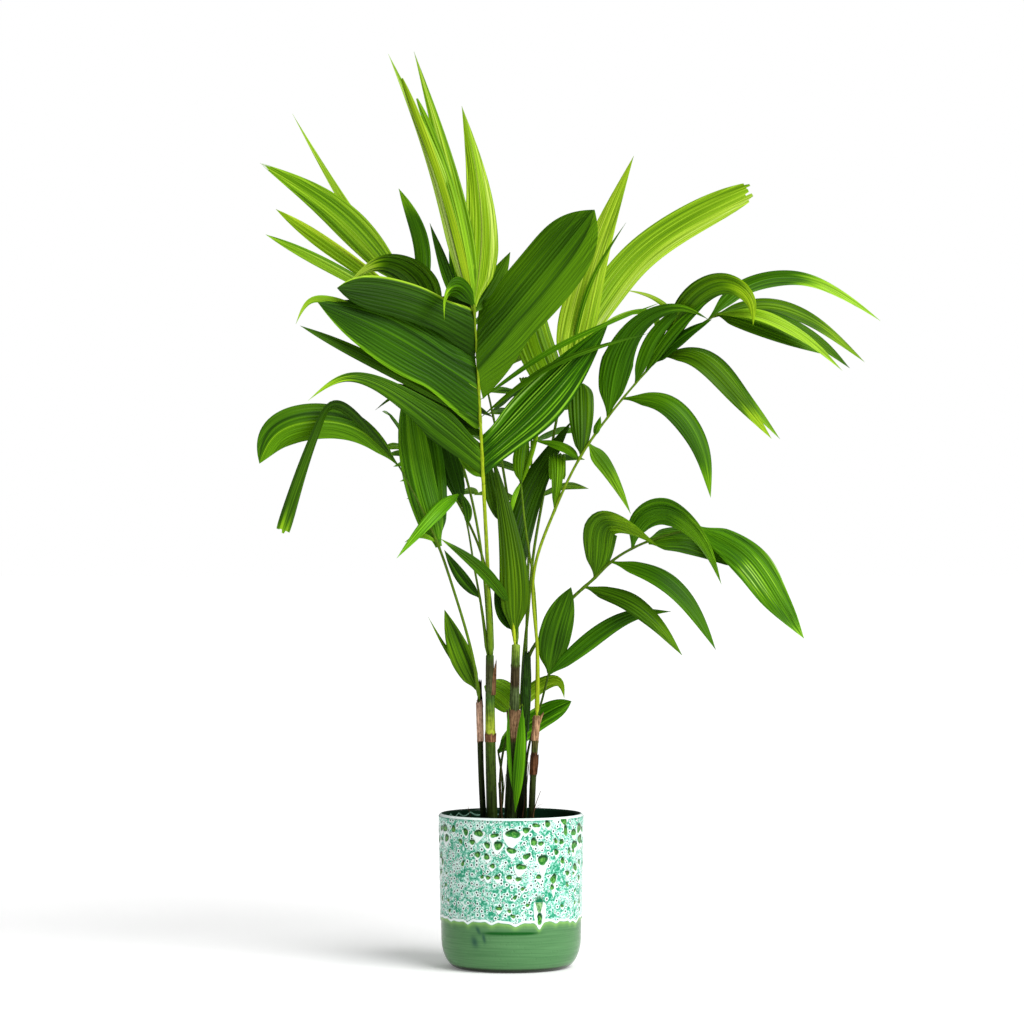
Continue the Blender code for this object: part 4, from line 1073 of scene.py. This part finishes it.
# The dark marks: across and up in mm, then width, height and lean. The long one is a clear dark line. The three soft
# grey ones lean, and touch its left end.
SMUDGES = [(-1, 63.3, 88, 5.0, 0.0), (-52, 67, 7, 13, 0.5), (-58, 49, 12, 17, 0.25), (-43, 55, 6, 15, 0.2)]
smudge, stain = np.zeros((2, *core.shape))
for x, middle, width, tall, lean in SMUDGES:
    off = np.abs(2 * (beside(angle_at(x)) + lean * (height - middle)) / width)
    rise = np.abs(2 * (height - middle) / tall)
    if lean:
        stain = np.maximum(stain, 0.9 * np.exp(-(off**2.4) - rise**2.4))
    else:
        smudge = np.minimum(1.6 * np.exp(-(off**4) - rise**2), 1)
ring_marks = 0.07 * np.sin(height / 1.7) * (1 - glazed)
relief = 0.7 * glazed + 0.5 * roll + 0.35 * white * glazed - 1.1 * core - 0.5 * gutter - 0.3 * tuft + ring_marks
print("relief", round(float(relief.min()), 2), "to", round(float(relief.max()), 2), "mm")

# %% Pot mesh
radius = np.repeat(profile[:, :1], POT_COLUMNS, axis=1)
radius[wall_rows] += relief
on_wall = {"crater": core, "lip_shade": upper, "white_glaze": white, "mint_glaze": glazed, "inside": 0,
           "smudge": smudge, "stain": stain, "tuft": tuft, "gutter": gutter, "band_and_highlight_below": band_and_highlight_below}
values = {}
for key, share in on_wall.items():
    values[key] = np.zeros_like(radius)
    values[key][wall_rows] = share
lip_rows = slice(wall_rows.stop, inner_rows.start)
values["white_glaze"][lip_rows] = fade(0.5 - turn / math.pi, 0.1)[:, None]
values["mint_glaze"][lip_rows] = 1
values["inside"][lip_rows] = smooth((turn / math.pi - 0.42) / 0.14)[:, None]
values["inside"][inner_rows.start:] = 1
inner_height = profile[inner_rows, 1][:, None]
scallop = LIP - 1.5 - 5.5 * np.abs(np.sin(angles * 11 + np.sin(angles * 3)))
on_left = smooth(0.35 - 0.9 * np.sin(angles))
values["white_glaze"][inner_rows] = smooth(1 - np.abs(inner_height - scallop) / 1.3) * (inner_height > 225) * on_left
grid = np.stack([radius * np.sin(angles), -radius * np.cos(angles), np.repeat(profile[:, 1:], POT_COLUMNS, axis=1)],
                axis=-1)
around_wall = np.stack(np.broadcast_arrays(angles * POT_RADIUS, profile[:, 1:]), axis=-1)
pot = Grids()
pot.add(grid, places=around_wall)

# %% [markdown]
# The glaze's colours come from several sizes of pattern, as on the real pot: clouds a few millimetres wide, small
# pits each with a white ring about 5 mm across, pinpricks, and the craters. Glaze is glass, so its IOR is 1.5 and
# it is smooth, and pits and clouds stand out a little.

# %% Glaze material
CLOUD = 3.8  # mm
PATCH = 16.0  # mm
PITS = 9.5  # mm between the larger pits
DIMPLES = 5.6  # mm between the smaller ones
PINPRICKS = 3.6  # mm between pinpricks
glaze, tree, shader = start_material("reactive mint glaze on stoneware", Roughness=0.22, IOR=1.5,
                                     Specular_IOR_Level=0.12, Coat_Weight=0.08, Coat_Roughness=0.06)
place = add(tree, "TexCoord").outputs["Object"]
unrolled = add(tree, "UVMap", {"uv_map": "surface"}).outputs[0]
up = add(tree, "SeparateXYZ", None, {0: place}).outputs[2]
parts = {key: add(tree, "Attribute", {"attribute_name": key}).outputs["Fac"] for key in values}
clouds = noise(tree, place, 1 / (CLOUD * MM), 3, 0.65)
patches = noise(tree, place, 1 / (PATCH * MM), 2)


def spots(spacing, radius, softness, share):
    """1 inside round spots on the unrolled wall, sizes in mm. share is how many cells have a spot at all."""
    cells = add(tree, "TexVoronoi", {"voronoi_dimensions": "2D"},
                {"Vector": unrolled, "Scale": 1 / spacing, "Randomness": 0.9})
    luck = add(tree, "SeparateXYZ", None, {0: cells.outputs["Color"]}).outputs[0]
    inside = ramp(tree, cells.outputs["Distance"], (radius + softness) / spacing, (radius - softness) / spacing)
    return calculate(tree, "MULTIPLY", inside, calculate(tree, "LESS_THAN", luck, share))


total = calculate(tree, "MULTIPLY_ADD", patches, 0.6, clouds)
mint = blend_colours(tree, ramp(tree, total, 0.66, 0.80), "#e3f5ef", "#84cfb8")
mint = blend_colours(tree, ramp(tree, total, 0.80, 0.90), mint, "#26966f")
mint = blend_colours(tree, spots(PINPRICKS, 0.7, 0.3, 0.75), mint, "#146a50")
for spacing, ring, hole, share in ((DIMPLES, 2.0, 1.1, 0.3), (PITS, 3.2, 1.6, 0.5)):
    mint = blend_colours(tree, spots(spacing, ring + 0.5, 0.4, share), mint, "#5db59a")
    mint = blend_colours(tree, spots(spacing, ring, 0.35, share), mint, "#e9f6f2")
    mint = blend_colours(tree, spots(spacing, hole, 0.3, share), mint, "#0a3a28")
teal_rim = calculate(tree, "PINGPONG", ramp(tree, parts["white_glaze"], 0.0, 0.7), 0.5)
mint = blend_colours(tree, teal_rim, mint, "#1f7f62")
mint = blend_colours(tree, ramp(tree, parts["white_glaze"], 0.3, 0.7), mint, "#ebf6f3")
mint = blend_colours(tree, parts["tuft"], mint, "#066b42")
sage = blend_colours(tree, ramp(tree, clouds, 0.4, 0.62), "#437f40", "#8fbb7f")
mint = blend_colours(tree, parts["gutter"], mint, sage)
basin = blend_colours(tree, ramp(tree, clouds, 0.4, 0.62), "#1b6e20", "#66a848")
# Painted shade under each crater's upper lip.
basin = blend_colours(tree, parts["lip_shade"], basin, "#063818")
mint = blend_colours(tree, parts["crater"], mint, basin)
brushed = noise(tree, stretched(tree, place, 12, 12, 420), 1, 3)
green = blend_colours(tree, ramp(tree, brushed, 0.3, 0.7), "#4a794a", "#588756")
# The lighter band and the painted highlight line below the mint edge.
green = blend_colours(tree, parts["band_and_highlight_below"], green, "#7fb25c")
green = blend_colours(tree, parts["smudge"], green, "#045210")
green = blend_colours(tree, parts["stain"], green, "#25513f")
green = blend_colours(tree, ramp(tree, up, 0.0095, 0.0045), green, "#1c2a14")
outside = blend_colours(tree, parts["mint_glaze"], green, mint)
# Painted shade: the inside wall below the white runs is painted a near-black green, far darker than the green outside.
within = blend_colours(tree, parts["white_glaze"], "#0d2a1a", "#9ccfb8")
depth = calculate(tree, "SUBTRACT", clouds, spots(PITS, 1.6, 0.5, 0.5))
clothe(tree, shader, blend_colours(tree, parts["inside"], outside, within), depth, 0.5, 0.5)
pot.build("glazed_pot", [glaze], ["pot"], values)

# %% [markdown]
# ## Compost
#
# Potting compost is dark, crumbly and fibrous. Its surface is a lumpy disc over a plain body, with flakes of bark and
# loose fibres scattered over it by a seeded draw. A few dry twigs stand up beside the canes and pass the rim.

# %% Compost body
CRUMBS = 260.0  # crumbs to a metre
compost_material, tree, shader = start_material("peat compost", Roughness=0.95, Specular_IOR_Level=0.2)
place = add(tree, "TexCoord").outputs["Object"]
crumbs = noise(tree, place, CRUMBS, 5, 0.7)
clothe(tree, shader, blend_colours(tree, ramp(tree, crumbs, 0.35, 0.7), "#120c07", "#46301f"), crumbs, 1.0, 2.0)
COMPOST_RADIUS = 104.5
radii = np.concatenate([np.linspace(1, COMPOST_RADIUS - 3, 46), [COMPOST_RADIUS]])[::-1]
around = np.arange(180) * math.tau / 180
east, north = radii[:, None] * np.cos(around), radii[:, None] * np.sin(around)
lumps = sum(np.sin(east * a + b) * np.sin(north * c + d) for a, b, c, d in draw.uniform(0.05, 0.55, (9, 4)))
top = COMPOST_TOP - 1.2 + 0.55 * lumps + draw.uniform(-0.5, 0.5, east.shape)
top[0] = COMPOST_TOP - 3
side_heights = np.array([POT_FLOOR + 0.5, 30.0, 60.0, 200.0])
side_radii = pot_outside(side_heights) - POT_WALL - 0.5
bottom = np.stack([np.append(0.5, side_radii), np.append(POT_FLOOR + 0.5, side_heights)], axis=1)
body = np.stack([bottom[:, :1] * np.cos(around), bottom[:, :1] * np.sin(around),
                 np.repeat(bottom[:, 1:], len(around), axis=1)], axis=-1)
compost = Grids()
compost.add(np.concatenate([body, np.stack([east, north, top], axis=-1)]), closed=True)
compost.build("compost_body", [compost_material], ["compost"])

# %% Bark flakes, fibres and twigs
LITTER = palette("#21170f", "#46301f", "#6d4f37", "#94704c")
FLAKES = 420
FIBRES = 120
litter = Grids()


def on_compost(widest):
    distance, bearing = widest * math.sqrt(draw.random()), draw.uniform(0, math.tau)
    return np.array([distance * math.cos(bearing), distance * math.sin(bearing), COMPOST_TOP + 0.3])


for _ in range(FLAKES):
    centre = on_compost(98) + [0, 0, draw.uniform(-0.8, 1.3)]
    turned = draw.uniform(0, math.tau)
    size = draw.uniform(1.5, 5.5)
    tilt = draw.normal(0, 0.35, 2)
    long_side = np.array([math.cos(turned), math.sin(turned), tilt[0]]) * size
    short_side = np.array([-math.sin(turned), math.cos(turned), tilt[1]]) * size * 0.45
    u, v = np.meshgrid(np.linspace(-1, 1, 4), [-1, 0, 1], indexing="ij")
    flake = centre + u[..., None] * long_side + (v * (1 - 0.4 * u * u))[..., None] * short_side
    flake[..., 2] += 0.5 * (1 - v * v)
    litter.add(flake, shade(LITTER, draw.uniform(0, 2.4)))
for _ in range(FIBRES):
    start = on_compost(96)
    ways = start + np.cumsum(draw.normal(0, 5, (4, 3)) * [1, 1, 0.22], axis=0)
    litter.add(capped(tube(spline([start, *ways], 12), np.full(12, 0.35), 5)), shade(LITTER, draw.uniform(1, 3)),
               closed=True)
TWIGS = [  # three places and a radius
    ((-58, -30, 211), (-62, -32, 232), (-67, -34, 253), 0.8), ((33, -9, 212), (36, -10, 245), (46, -12, 275), 1.1),
    ((34, -7, 225), (42, -8, 252), (50, -9, 255), 0.5), ((30, -8, 228), (37, -9, 247), (47, -10, 250), 0.5),
    ((-12, -30, 212), (-16, -27, 270), (-15, -24, 315), 0.7), ((-24, 30, 212), (-15, 18, 250), (-8, 10, 300), 1.0),
    ((14, 6, 212), (22, 10, 262), (28, 12, 318), 1.3), ((-9, 12, 212), (-16, 16, 250), (-20, 18, 286), 1.2),
    ((26, -2, 300), (25, -4, 326), (24, -5, 330), 0.5),
]
for first, second, third, radius in TWIGS:
    twig = capped(tube(spline([first, second, third], 14), np.linspace(radius, radius * 0.4, 14), 6))
    litter.add(twig, shade(LITTER, draw.uniform(0.6, 3)), closed=True)
litter.build("bark_and_twigs", [dry_material], [])
print("litter faces", sum(len(q) for q in litter.quads))
